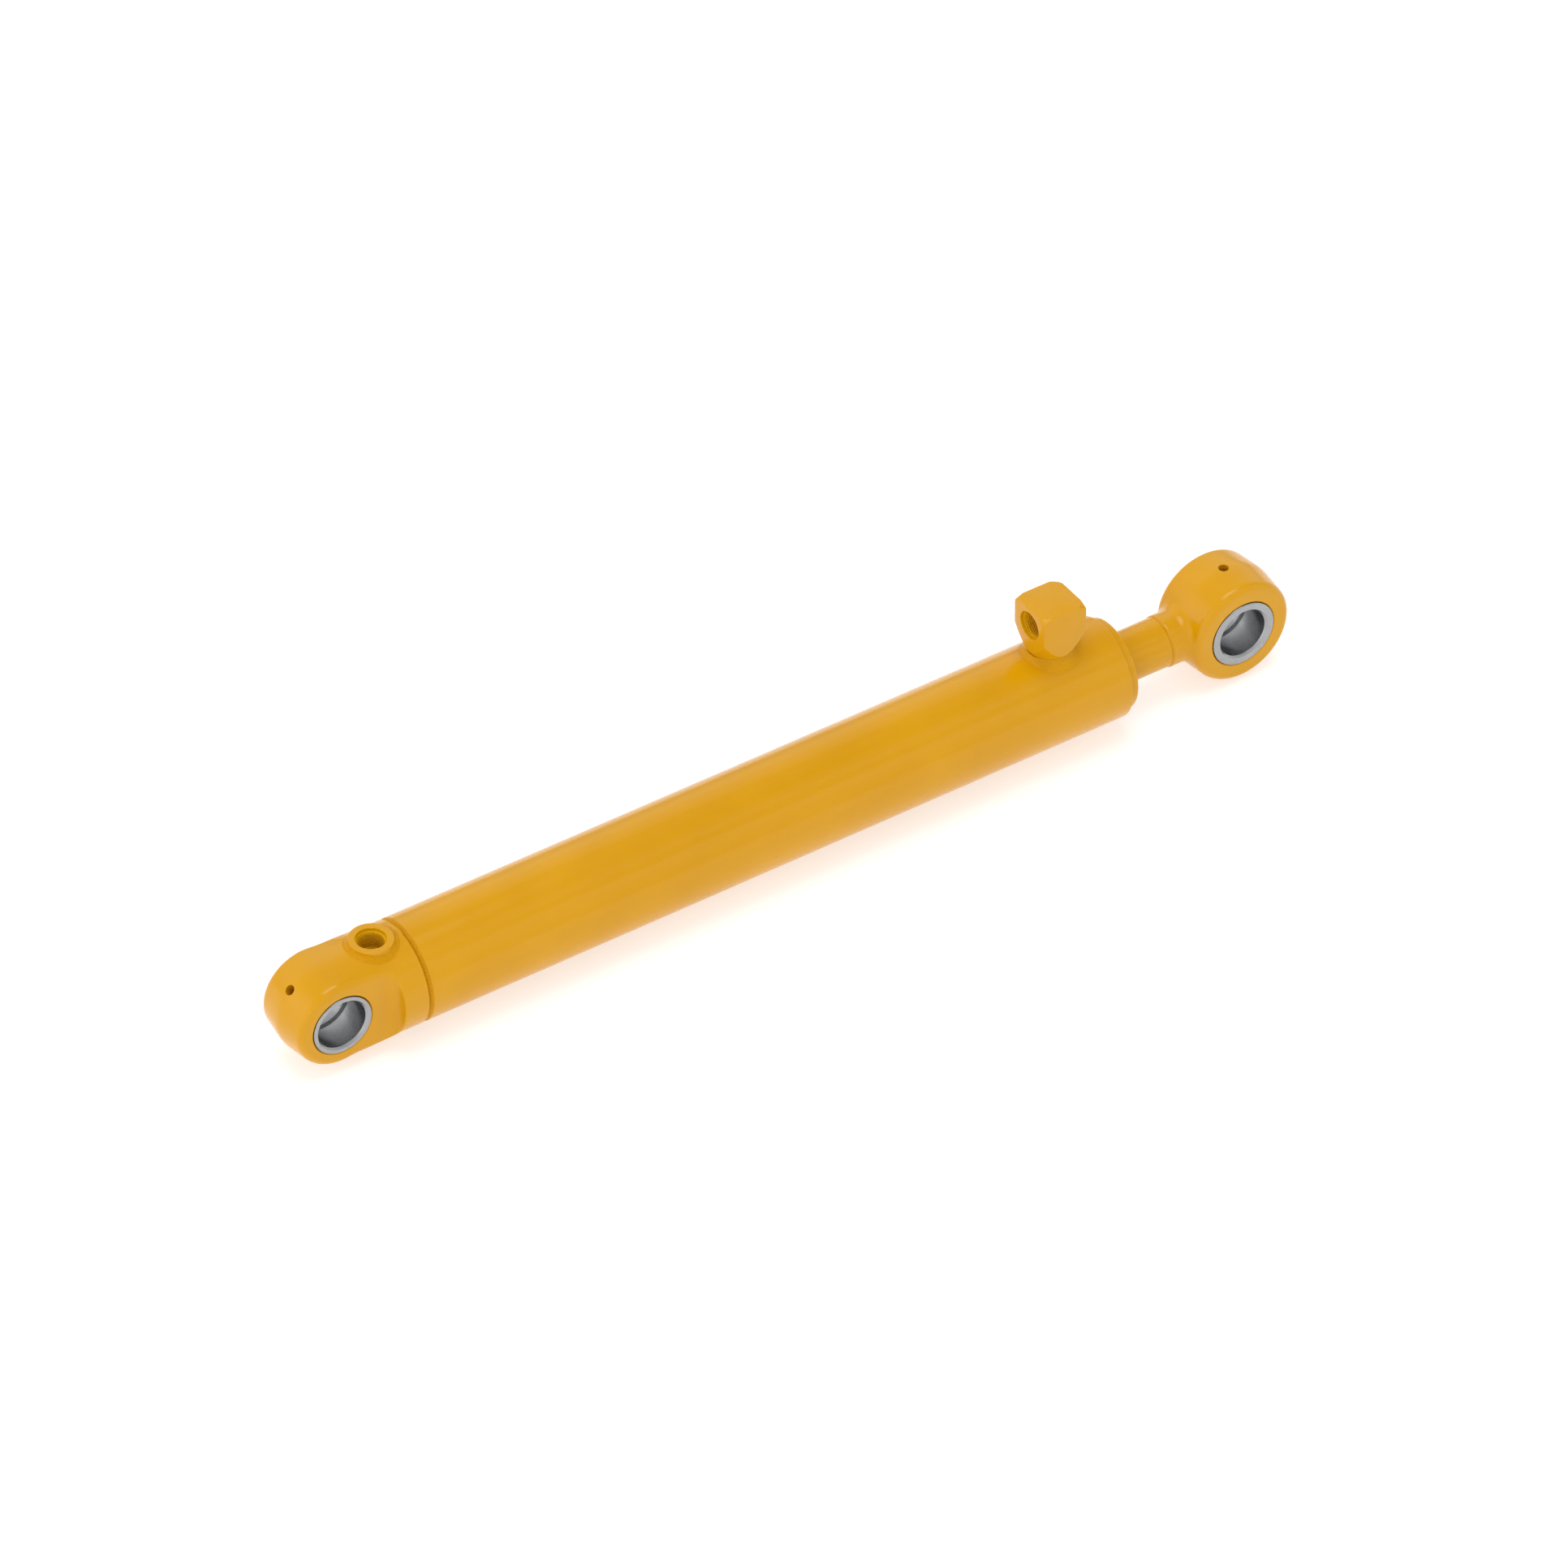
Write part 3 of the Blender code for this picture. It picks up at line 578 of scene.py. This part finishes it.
def make_tube():
    """The honed tube, with a weld bevel inside a small chamfer at the cap and the rod port's passage."""
    bevel = 2.6 * MM
    points = [
        (TUBE_START - bevel + GAP, BORE_R, 0),
        (TUBE_START - bevel + GAP, BORE_R + 1 * MM, 0),
        (TUBE_START, TUBE_R - 1.4 * MM, 0.2 * MM),
        (TUBE_START, TUBE_R - 0.45 * MM, 0.2 * MM),
        (TUBE_START + 0.55 * MM, TUBE_R, 0.3 * MM),
        (TUBE_END, TUBE_R, 0.9 * MM),
        (TUBE_END, BORE_R + 1.2 * MM, 0.2 * MM),
        (TUBE_END - 1.2 * MM, BORE_R, 0),
    ]
    tube = lathe("barrel_tube_surface", points, segments=192, radius=0.35 * MM)
    inside, outside = 20 * MM, 40 * MM
    combine(tube, [drill(inside, outside, PASSAGE_R, "Z", (ELBOW_X, 0, 0))])
    dress(tube, tube_paint, "tube_paint", "barrel", "barrel_tube")


def weld_ripple(pitch, height, radius, middle):
    """Crescent ripples round a bead: each pass of the torch leaves a low step, bowed along its middle."""
    lean, half_width = 0.6 * MM, 1.6 * MM
    count = round(2 * math.pi * radius / pitch)
    def change(angle, along, reach):
        bow = lean * (1 - ((along - middle) / half_width) ** 2)
        phase = angle * count / (2 * math.pi) + bow / pitch
        wave = abs(math.sin(math.pi * phase))
        slow = math.sin(3 * angle + 1.3) + 0.7 * math.sin(7 * angle + 0.4)
        return along, reach + height * (wave - 0.5) + 0.12 * height * slow
    return change


def make_cap_weld():
    """The bead fills the groove from its deep side, at the cap, up to the bevelled end of the tube."""
    clearance = 0.05 * MM
    start, end = CAP_END + clearance, TUBE_START - clearance
    points = [
        (start, TUBE_R - 6 * MM, 0),
        (start, TUBE_R - 3.2 * MM, 0),
        (start + 0.4 * MM, TUBE_R - 2.3 * MM, 0),
        (start + 1.0 * MM, TUBE_R - 1.7 * MM, 0),
        (start + 1.8 * MM, TUBE_R - 1.2 * MM, 0),
        (start + 2.5 * MM, TUBE_R - 0.75 * MM, 0),
        (end, TUBE_R - 0.5 * MM, 0),
        (end, TUBE_R - 2.6 * MM, 0),
        (end - 2.2 * MM, TUBE_R - 6 * MM, 0),
    ]
    ripple = weld_ripple(pitch=2.4 * MM, height=0.2 * MM, radius=TUBE_R, middle=0.5 * (start + end))
    groove_r = TUBE_R - 2.5 * MM
    def spread(angle, along, reach):
        if reach < groove_r or along in (start, end):
            return along, reach
        return ripple(angle, along, reach)
    bead = lathe("cap_weld_surface", points, segments=480, radius=0, spread=spread)
    # The bead's darker speckled paint is painted shade in the groove.
    dress(bead, weld_paint, "weld_paint", "barrel", "cap_weld_bead")


def cap_field(x, y, z):
    """The forged cap: an eye ring whose flats run on to a step, where a round flange begins."""
    eye = eye_field(x, y, z, CAP_FACE_Y, CAP_RIDGE_R, CAP_DRAFT, CAP_RIM)
    top = (np.abs(z) + CAP_DRAFT * off_parting(y) - CAP_RIDGE_R) / math.hypot(1, CAP_DRAFT)
    flange = np.hypot(y, z) - TUBE_R
    share = np.clip(x / CAP_STEP_X, 0, 1)
    loft = (1 - share) * top + share * flange
    cheek = round_min(np.abs(y) - CAP_FACE_Y, CAP_STEP_X - x, CAP_STEP_FILLET)
    sharpening = np.clip((x - CAP_EDGE_START) / CAP_EDGE_LENGTH, 0, 1)
    edge = CAP_RIM + (CAP_STEP_EDGE - CAP_RIM) * sharpening
    body = np.maximum(round_max(loft, cheek, edge), -x)
    return np.minimum(eye, body)


def make_cap():
    """The cap: its spigot in the tube, the boss's seat, the oil passage, the nut pocket and grease hole."""
    margin, beyond = 3 * MM, 6 * MM
    lowest = (-CAP_RIDGE_R - margin, -TUBE_R - margin, -TUBE_R - margin)
    highest = (CAP_END + beyond, TUBE_R + margin, TUBE_R + margin)
    mesh = surface_of("cap_forging", cap_field, lowest, highest, CELL)
    cap = finish_mesh("cap_end_surface", close_at(mesh, CAP_END))
    spigot_r = BORE_R - GAP
    spigot = lathe("spigot", [
        (SPIGOT_START, 0), (SPIGOT_START, spigot_r), (SPIGOT_END, spigot_r, 1 * MM), (SPIGOT_END, 0),
    ])
    combine(cap, [spigot], "UNION")
    over_port = (CAP_PORT_X, 0, 0)
    above, below = 40 * MM, -5 * MM
    cross_r = PASSAGE_R - 0.4 * MM
    cross_end, pocket_end, grease_end = 50 * MM, 70 * MM, 45 * MM
    tools = [eye_bore(CAP_BUSHING_R + GAP, CAP_FACE_Y, (0, 0, 0))]
    tools.append(drill(CAP_BOSS_SEAT - GAP, above, CAP_BOSS_R + GAP, "Z", over_port))
    tools.append(drill(below, above, PASSAGE_R, "Z", over_port, segments=48))
    tools.append(drill(NUT_POCKET_START, pocket_end, NUT_POCKET_R))
    tools.append(drill(CAP_PORT_X, cross_end, cross_r, segments=40))
    tools.append(aim_xz(drill(0, grease_end, GREASE_R, "Z", segments=48), (0, 0, 0), CAP_GREASE_ANGLE))
    combine(cap, tools)
    dress(cap, forging_paint, "forging_paint", "barrel", "cap_end_eye")


def eye_bore(radius, face_y, centre):
    """A cutter through an eye along Y: a small chamfer at each face and a wide flare outside them."""
    mouth, flare, half_length = 0.5 * MM, 10 * MM, 30 * MM
    points = [(-half_length, 0), (-half_length, radius + flare)]
    points += [(-face_y, radius + mouth), (-face_y + mouth, radius)]
    points += [(-along, reach) for along, reach in reversed(points)]
    return lathe("bore", points, "Y", centre, radius=0)


# ---------------------------------------------------------------- ports

def thread_groove(along, turn):
    """How deep the helix is cut here, from 0 on its crest to 1 along its flat root; turn is 0 to 1."""
    phase = (along / THREAD_PITCH - turn) % 1
    return min(1, max(0, 1.35 * (1 - abs(2 * phase - 1)) - 0.15))


def port_cutter(matrix):
    """A cutter down local -Z from a face at 0: chamfer, recess, a true helical thread and a passage.

    Each row is (along, radius, share of the thread's depth).
    """
    segments, steps_per_turn, run_in = 96, 8, 6
    beyond, cone, relief, bevel, above = 6 * MM, 1.2 * MM, 0.5 * MM, 0.2 * MM, 4 * MM
    steps = int((PORT_DEPTH - PORT_RECESS) / THREAD_PITCH * steps_per_turn)
    top = THREAD_R + THREAD_DEPTH
    rows = [(-PORT_DEPTH - beyond, PASSAGE_R, 0), (-PORT_DEPTH - cone, PASSAGE_R, 0)]
    for step in range(steps + 1):
        along = -PORT_DEPTH + (PORT_DEPTH - PORT_RECESS - relief) * step / steps
        rows.append((along, THREAD_R, min(1, step / run_in)))
    rows += [(-PORT_RECESS, top + 0.1 * MM, 0), (-PORT_RECESS, PORT_R - bevel, 0)]
    rows += [(-PORT_RECESS + bevel, PORT_R, 0), (-PORT_CHAMFER, PORT_R, 0)]
    rows.append((above, PORT_R + above + PORT_CHAMFER, 0))
    edit = bmesh.new()
    rings = []
    for along, reach, share in rows:
        ring = []
        for k in range(segments):
            turn = k / segments
            r = reach + share * THREAD_DEPTH * thread_groove(along, turn)
            angle = 2 * math.pi * turn
            ring.append(edit.verts.new((r * math.cos(angle), r * math.sin(angle), along)))
        rings.append(ring)
    for first, second in zip(rings, rings[1:]):
        for k in range(segments):
            after = (k + 1) % segments
            edit.faces.new((first[k], first[after], second[after], second[k]))
    edit.faces.new(rings[0])
    edit.faces.new(rings[-1])
    edit.transform(matrix)
    cutter = finish_mesh("port", edit)
    # The hole's faces take the shade-tuned copy of the yellow: painted shade and light inside the port.
    cutter.data.materials.append(port_shade_tuned_paint)
    return cutter


def make_cap_port():
    """The round boss on the cap, and the fillet weld round its foot."""
    centre = (CAP_PORT_X, 0, 0)
    points = [(CAP_BOSS_SEAT, 0), (CAP_BOSS_SEAT, CAP_BOSS_R)]
    points += [(CAP_PORT_TOP, CAP_BOSS_R, 0.5 * MM), (CAP_PORT_TOP, 0)]
    boss = lathe("cap_port_boss_surface", points, "Z", centre)
    boss.data.materials.append(tube_paint)
    combine(boss, [port_cutter(Matrix.Translation((CAP_PORT_X, 0, CAP_PORT_TOP)))])
    dress(boss, tube_paint, "tube_paint", "barrel", "cap_port_boss")
    top = CAP_PORT_TOP - 0.3 * MM
    # The fillet's darker speckled paint is painted shade at the boss's foot.
    fillet_weld("cap_port_weld", cap_field, centre, CAP_BOSS_R, BOSS_FILLET, top, weld_paint)


def tube_field(x, y, z):
    return np.hypot(y, z) - TUBE_R


def fillet_weld(node, base_field, centre, post_r, radius, top, material):
    """A fillet between a round post and the body it stands on, feathered out at its toe."""
    side = post_r + 2 * radius
    lift, bed, cell = 0.02 * MM, 1.6 * MM, 0.6 * MM
    beside, over, floor, ring_floor = 2 * MM, 3 * MM, 10 * MM, 12 * MM
    def shell(x, y, z):
        base = base_field(x, y, z)
        post = np.maximum(np.hypot(x - centre[0], y) - post_r, -z)
        skin = round_min(base, post, radius) + lift
        walls = np.maximum(np.abs(x - centre[0]), np.abs(y)) - side
        return np.maximum(np.maximum(skin, walls), np.maximum(z - top - 1 * MM, -(base + bed)))
    lowest = (centre[0] - side - beside, -side - beside, floor)
    highest = (centre[0] + side + beside, side + beside, top + over)
    edit = bmesh.new()
    edit.from_mesh(surface_of("weld_fillet", shell, lowest, highest, cell))
    weld = finish_mesh(node + "_surface", edit)
    inner, outer = post_r + lift, side - 1 * MM
    points = [(ring_floor, inner), (ring_floor, outer), (top, outer), (top, inner)]
    combine(weld, [lathe("collar", points, "Z", centre, segments=160, radius=0)], "INTERSECT")
    dress(weld, material, "weld_paint", "barrel", node)


def elbow_block():
    """The elbow before its holes: a square bar turned down to a round foot, saddled on the tube."""
    centre = (ELBOW_X, 0, 0)
    post_start, waist_r, crown, crown_r = 24 * MM, 13.4 * MM, 2.9 * MM, 16.8 * MM
    corner = ELBOW_HALF * math.sqrt(2) + 1 * MM
    turning = lathe("turning", [
        (post_start, 0), (post_start, FOOT_POST_R), (ELBOW_FOOT_Z, FOOT_POST_R), (ELBOW_FOOT_Z, waist_r),
        (34.3 * MM, 14.3 * MM), (38.5 * MM, 16.2 * MM), (48.6 * MM, corner),
        (ELBOW_TOP - crown, corner), (ELBOW_TOP, crown_r), (ELBOW_TOP, 0),
    ], "Z", centre, segments=120, radius=0)
    bottom, above = 20 * MM, 3 * MM
    size = Vector((2 * ELBOW_HALF, 2 * ELBOW_HALF, ELBOW_TOP + above - bottom))
    edit = bmesh.new()
    bmesh.ops.create_cube(edit, size=1, matrix=Matrix.Diagonal((*size, 1)))
    edit.transform(Matrix.Translation((ELBOW_X, 0, bottom + size.z / 2)))
    elbow = finish_mesh("rod_port_elbow_surface", edit)
    elbow.data.materials.append(tube_paint)
    combine(elbow, [turning], "INTERSECT")
    reach = 40 * MM
    combine(elbow, [drill(ELBOW_X - reach, ELBOW_X + reach, TUBE_R + 0.1 * MM, segments=192)])
    rounding = elbow.modifiers.new("Rounded edges", "BEVEL")
    rounding.width = 0.35 * MM
    rounding.segments = 3
    rounding.limit_method = "ANGLE"
    rounding.angle_limit = math.radians(20)
    apply_modifiers(elbow)
    return elbow


def make_elbow():
    """The rod port's elbow, its port facing the cap, and the fillet weld round its foot."""
    centre = (ELBOW_X, 0, 0)
    elbow = elbow_block()
    face_x = ELBOW_X - ELBOW_HALF
    to_port = Matrix.Translation((face_x, 0, ELBOW_PORT_Z)) @ Matrix.Rotation(-math.pi / 2, 4, "Y")
    down_r = PASSAGE_R - 0.05 * MM
    combine(elbow, [port_cutter(to_port), drill(20 * MM, ELBOW_PORT_Z, down_r, "Z", centre)])
    dress(elbow, tube_paint, "tube_paint", "barrel", "rod_port_elbow")
    top = ELBOW_FOOT_Z - 0.15 * MM
    # The fillet takes the darker foot paint: painted shade under the elbow's foot.
    fillet_weld("rod_port_weld", tube_field, centre, FOOT_POST_R, FOOT_FILLET, top, foot_shade_paint)


# ---------------------------------------------------------------- gland, rod and rod eye

def make_gland():
    """Only the gland's head shows, so its seals' grooves stay with the CAD model."""
    rod_way, wiper_way = ROD_R + 0.5 * MM, WIPER_R + 0.5 * MM
    pocket = GLAND_FACE - 8 * MM
    gland = lathe("head_gland_surface", [
        (GLAND_START, rod_way, 0), (GLAND_START, GLAND_STEM_R),
        (GLAND_PILOT_X, GLAND_STEM_R), (GLAND_PILOT_X, GLAND_PILOT_R),
        (TUBE_END + GAP, GLAND_PILOT_R, 0), (TUBE_END + GAP, GLAND_HEAD_R),
        (GLAND_FACE, GLAND_HEAD_R, 1.3 * MM), (GLAND_FACE, wiper_way),
        (pocket, wiper_way), (pocket, rod_way, 0),
    ])
    hole_r, hole_mouth, hole_depth, clear = 2.2 * MM, 0.4 * MM, 4 * MM, 5 * MM
    circle_r = 0.5 * (GLAND_HEAD_R + WIPER_R)
    holes = []
    for quarter in range(4):
        angle = math.pi / 4 + quarter * math.pi / 2
        centre = (0, circle_r * math.cos(angle), circle_r * math.sin(angle))
        holes.append(drill(GLAND_FACE - hole_depth, GLAND_FACE + clear, hole_r, "X", centre, hole_mouth, 40))
    combine(gland, holes)
    dress(gland, tube_paint, "tube_paint", "barrel", "head_gland")


def make_wiper():
    """The wiper sits just inside the gland's face, and its lip leans out to the rod."""
    near, heel = ROD_R + GAP, ROD_R + GAP + 0.6 * MM
    face = GLAND_FACE - 0.5 * MM
    wiper = lathe("rod_wiper_surface", [
        (WIPER_START, heel, 0), (WIPER_START, WIPER_R), (face, WIPER_R), (face, near + 2.6 * MM, 0.5 * MM),
        (WIPER_LIP, near + 0.9 * MM), (WIPER_LIP, near, 0.15 * MM), (WIPER_START + 3 * MM, heel, 0),
    ], segments=96, radius=0.3 * MM)
    dress(wiper, polyurethane, "seal_polyurethane", "barrel", "rod_wiper")


def make_rod():
    """The rod in two finishes: chrome where the tube hides it, paint where it stood out to be sprayed."""
    edge = WIPER_LIP + GAP
    rod = lathe("piston_rod_chrome", [
        (ROD_START, 0), (ROD_START, ROD_THREAD_R, 1 * MM), (ROD_THREAD_END, ROD_THREAD_R),
        (ROD_THREAD_END, ROD_SPIGOT_R), (ROD_SHOULDER, ROD_SPIGOT_R, 0), (ROD_SHOULDER, ROD_R, 0.5 * MM),
        (edge, ROD_R, 0), (edge, 0),
    ])
    dress(rod, rod_chrome, "rod_chrome", "rod")
    root = WELD_ROOT_X - GAP
    end = lathe("piston_rod_painted", [
        (edge, 0), (edge, ROD_R, 0), (NECK_START - 0.1 * MM, ROD_R, 0), (root, WELD_ROOT_R, 0), (root, 0),
    ])
    dress(end, tube_paint, "rod_chrome", "rod", "piston_rod")


def rod_eye_field(x, y, z):
    """The forged rod eye: a drafted ring with a stub that flares into it."""
    ring = eye_field(x - PIN_TO_PIN, y, z, ROD_FACE_Y, ROD_RIDGE_R, ROD_DRAFT, ROD_RIM)
    stub_end = PIN_TO_PIN - 22 * MM
    stub = np.maximum(np.hypot(y, z) - NECK_R, x - stub_end)
    return round_min(ring, stub, ROD_FLARE)


def make_rod_weld():
    """The butt weld, turned down to a collar just larger than the rod, which runs on into the eye."""
    cell, before, beyond, overlap = 0.7 * MM, 2 * MM, 4 * MM, 0.1 * MM
    slope = NECK_START + 0.6 * MM - ROD_R
    def collar_field(x, y, z):
        chamfer = (np.hypot(y, z) + slope - x) / math.sqrt(2)
        return np.maximum(rod_eye_field(x, y, z), np.maximum(NECK_START - x, chamfer))
    side = ROD_RIDGE_R
    lowest, highest = (NECK_START - before, -side, -side), (NECK_END + beyond, side, side)
    mesh = surface_of("collar", collar_field, lowest, highest, cell)
    collar = finish_mesh("rod_eye_weld_surface", close_at(mesh, NECK_END))
    start, end = NECK_START - overlap, NECK_END + overlap
    root = lathe("root", [
        (start, 0), (start, ROD_R - 0.1 * MM), (WELD_ROOT_X, WELD_ROOT_R), (end, ROD_R - 0.6 * MM), (end, 0),
    ], radius=0)
    combine(collar, [root])
    dress(collar, forging_paint, "weld_paint", "rod", "rod_eye_weld")


def make_rod_eye():
    """The rod eye, drawn mirrored in X so that its cut neck is on the far side, and turned back."""
    margin, beyond = 3 * MM, 4 * MM
    side = ROD_RIDGE_R + margin
    def mirrored(x, y, z):
        return rod_eye_field(-x, y, z)
    lowest = (-(PIN_TO_PIN + side), -ROD_FACE_Y - margin, -side)
    highest = (-NECK_END + beyond, ROD_FACE_Y + margin, side)
    edit = close_at(surface_of("rod_forging", mirrored, lowest, highest, CELL), -NECK_END)
    for vert in edit.verts:
        vert.co.x = -vert.co.x
    eye = finish_mesh("rod_eye_surface", edit)
    centre = (PIN_TO_PIN, 0, 0)
    root, base = WELD_ROOT_X + GAP, NECK_END + 0.6 * MM
    nose = lathe("nose", [(root, 0), (root, WELD_ROOT_R), (base, ROD_R - 0.3 * MM), (base, 0)], radius=0)
    combine(eye, [nose], "UNION")
    grease_end = 50 * MM
    grease = aim_xz(drill(0, grease_end, GREASE_R, "Z", centre, segments=48), centre, ROD_GREASE_ANGLE)
    combine(eye, [eye_bore(ROD_BUSHING_R + GAP, ROD_FACE_Y, centre), grease])
    dress(eye, forging_paint, "forging_paint", "rod", "rod_eye")


def make_bushing(node, centre, body, grease_angle):
    """A turned bushing with rounded mouths, a grease groove round the middle of its bore and a hole to it."""
    half_y, outer = high(node).y, high(node).x - centre[0]
    groove, lip, depth, mouth = 1.6 * MM, 0.35 * MM, 1.9 * MM, 1.3 * MM
    points = [
        (-half_y, PIN_R + mouth, 0.25 * MM), (-half_y, outer, 0.7 * MM), (half_y, outer, 0.7 * MM),
        (half_y, PIN_R + mouth, 0.25 * MM), (half_y - mouth, PIN_R, 0.2 * MM),
        (groove + lip, PIN_R, 0.1 * MM), (groove, PIN_R + lip, 0.1 * MM), (groove, PIN_R + depth, 0.3 * MM),
        (-groove, PIN_R + depth, 0.3 * MM), (-groove, PIN_R + lip, 0.1 * MM),
        (-groove - lip, PIN_R, 0.1 * MM), (-half_y + mouth, PIN_R, 0.2 * MM),
    ]
    bushing = lathe(node + "_surface", points, "Y", centre)
    hole_r, beyond = 1.6 * MM, 3 * MM
    hole = drill(PIN_R - beyond, outer + beyond, hole_r, "Z", centre, segments=32)
    combine(bushing, [aim_xz(hole, centre, grease_angle)])
    dress(bushing, bushing_steel, "bushing_steel", body, node)


def finish_hidden():
    """The pieces inside the tube keep their CAD shapes and get their own finishes."""
    finishes = {
        "piston": iron, "piston_nut": plain_steel, "nut_set_screw": plain_steel,
        "piston_oring": nitrile, "gland_oring": nitrile, "piston_seal_energiser": nitrile,
        "rod_seal": polyurethane, "rod_buffer_seal": filled_ptfe, "gland_backup_ring": filled_ptfe,
        "piston_seal": filled_ptfe, "gland_wear_ring_outer": phenolic, "gland_wear_ring_inner": phenolic,
        "piston_wear_ring_front": phenolic, "piston_wear_ring_rear": phenolic,
    }
    for node, material in finishes.items():
        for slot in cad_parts[node].material_slots:
            slot.material = material


# ---------------------------------------------------------------- floor, light and camera

# The studio's brightness by angle, in degrees from the +Y horizon over the top to the -Y horizon.
SKY = [
    (0, 0.75), (3, 0.50), (8, 0.40), (16, 0.80), (26, 1.18), (56, 0.98), (66, 0.50), (95, 0.30),
    (107, 0.50), (120, 0.95), (133, 0.50), (143, 1.15), (166, 0.9), (180, 0.70),
]


def make_floor():
    """A wide pale floor, lit a little from within so that it stays white to its edge."""
    edit = bmesh.new()
    bmesh.ops.create_grid(edit, x_segments=1, y_segments=1, size=30)
    floor = finish_mesh("floor", edit)
    floor.location.z = cad_box[0][2] - 0.5 * MM
    material, tree, shader = start_material("pale_floor", 0.9)
    cloud = place_noise(tree, scale=0.7)
    tint = ramp(tree, cloud.outputs["Fac"], [(0.2, grey(0.61)), (0.8, grey(0.63))])
    tree.links.new(tint.outputs["Color"], shader.inputs["Base Color"])
    shader.inputs["Specular IOR Level"].default_value = 0.0
    shader.inputs["Emission Color"].default_value = grey(1)
    shader.inputs["Emission Strength"].default_value = 0.55
    floor.data.materials.append(material)


def combined(tree, operation, first, second):
    """A maths node on two sources; a second that is a number is set on the node."""
    node = add(tree, "ShaderNodeMath", operation=operation)
    tree.links.new(first, node.inputs[0])
    if isinstance(second, float):
        node.inputs[1].default_value = second
    else:
        tree.links.new(second, node.inputs[1])
    return node.outputs[0]


def soft_box(tree, source, edge, full, level):
    """A lamp with a soft edge: dark up to edge along the source, and at its level from full on."""
    box = add(tree, "ShaderNodeMapRange", interpolation_type="SMOOTHSTEP")
    box.inputs["From Min"].default_value = edge
    box.inputs["From Max"].default_value = full
    box.inputs["To Max"].default_value = level
    tree.links.new(source, box.inputs["Value"])
    return box.outputs["Result"]


def make_light():
    """A white studio: soft boxes on both sides, a darker ceiling, a lamp overhead and one past the cap."""
    world = bpy.data.worlds.new("studio")
    bpy.context.scene.world = world
    world.use_nodes = True
    tree = world.node_tree
    background = tree.nodes["Background"]
    toward = tree.nodes.new("ShaderNodeTexCoord")
    parts = tree.nodes.new("ShaderNodeSeparateXYZ")
    tree.links.new(toward.outputs["Generated"], parts.inputs["Vector"])
    turn = combined(tree, "ARCTAN2", parts.outputs["Z"], parts.outputs["Y"])
    share = combined(tree, "DIVIDE", turn, math.pi)
    side_boxes = ramp(tree, share, [(angle / 180, grey(level)) for angle, level in SKY])
    overhead = soft_box(tree, parts.outputs["Z"], edge=0.93, full=0.97, level=3.8)
    end_box = soft_box(tree, parts.outputs["X"], edge=-0.45, full=-0.80, level=0.7)
    lamps = combined(tree, "ADD", end_box, overhead)
    total = combined(tree, "ADD", side_boxes.outputs["Color"], lamps)
    background.inputs["Color"].default_value = grey(1)
    tree.links.new(total, background.inputs["Strength"])


def make_camera():
    """A long lens, far off, which sees the cylinder from above its cap end."""
    elevation, turn = math.radians(40.226), math.radians(33.871)
    distance = 7.4643
    target = Vector((0.30187, 0, 0.014917))
    level = math.cos(elevation)
    back = Vector((-level * math.sin(turn), -level * math.cos(turn), math.sin(elevation)))
    data = bpy.data.cameras.new("camera")
    data.lens = 310.27
    data.sensor_width = 36
    data.clip_end = 100
    camera = new_object("camera", data)
    camera.location = target + back * distance
    camera.rotation_euler = (-back).to_track_quat("-Z", "Y").to_euler()
    bpy.context.scene.camera = camera


bpy.context.scene.view_settings.view_transform = "Standard"
make_camera()
make_tube()
make_cap_weld()
make_cap()
make_cap_port()
make_elbow()
make_gland()
make_wiper()
make_rod()
make_rod_weld()
make_rod_eye()
make_bushing("cap_eye_bushing", (0, 0, 0), "barrel", CAP_GREASE_ANGLE)
make_bushing("rod_eye_bushing", (PIN_TO_PIN, 0, 0), "rod", ROD_GREASE_ANGLE)
finish_hidden()
make_floor()
make_light()

bpy.context.view_layer.update()
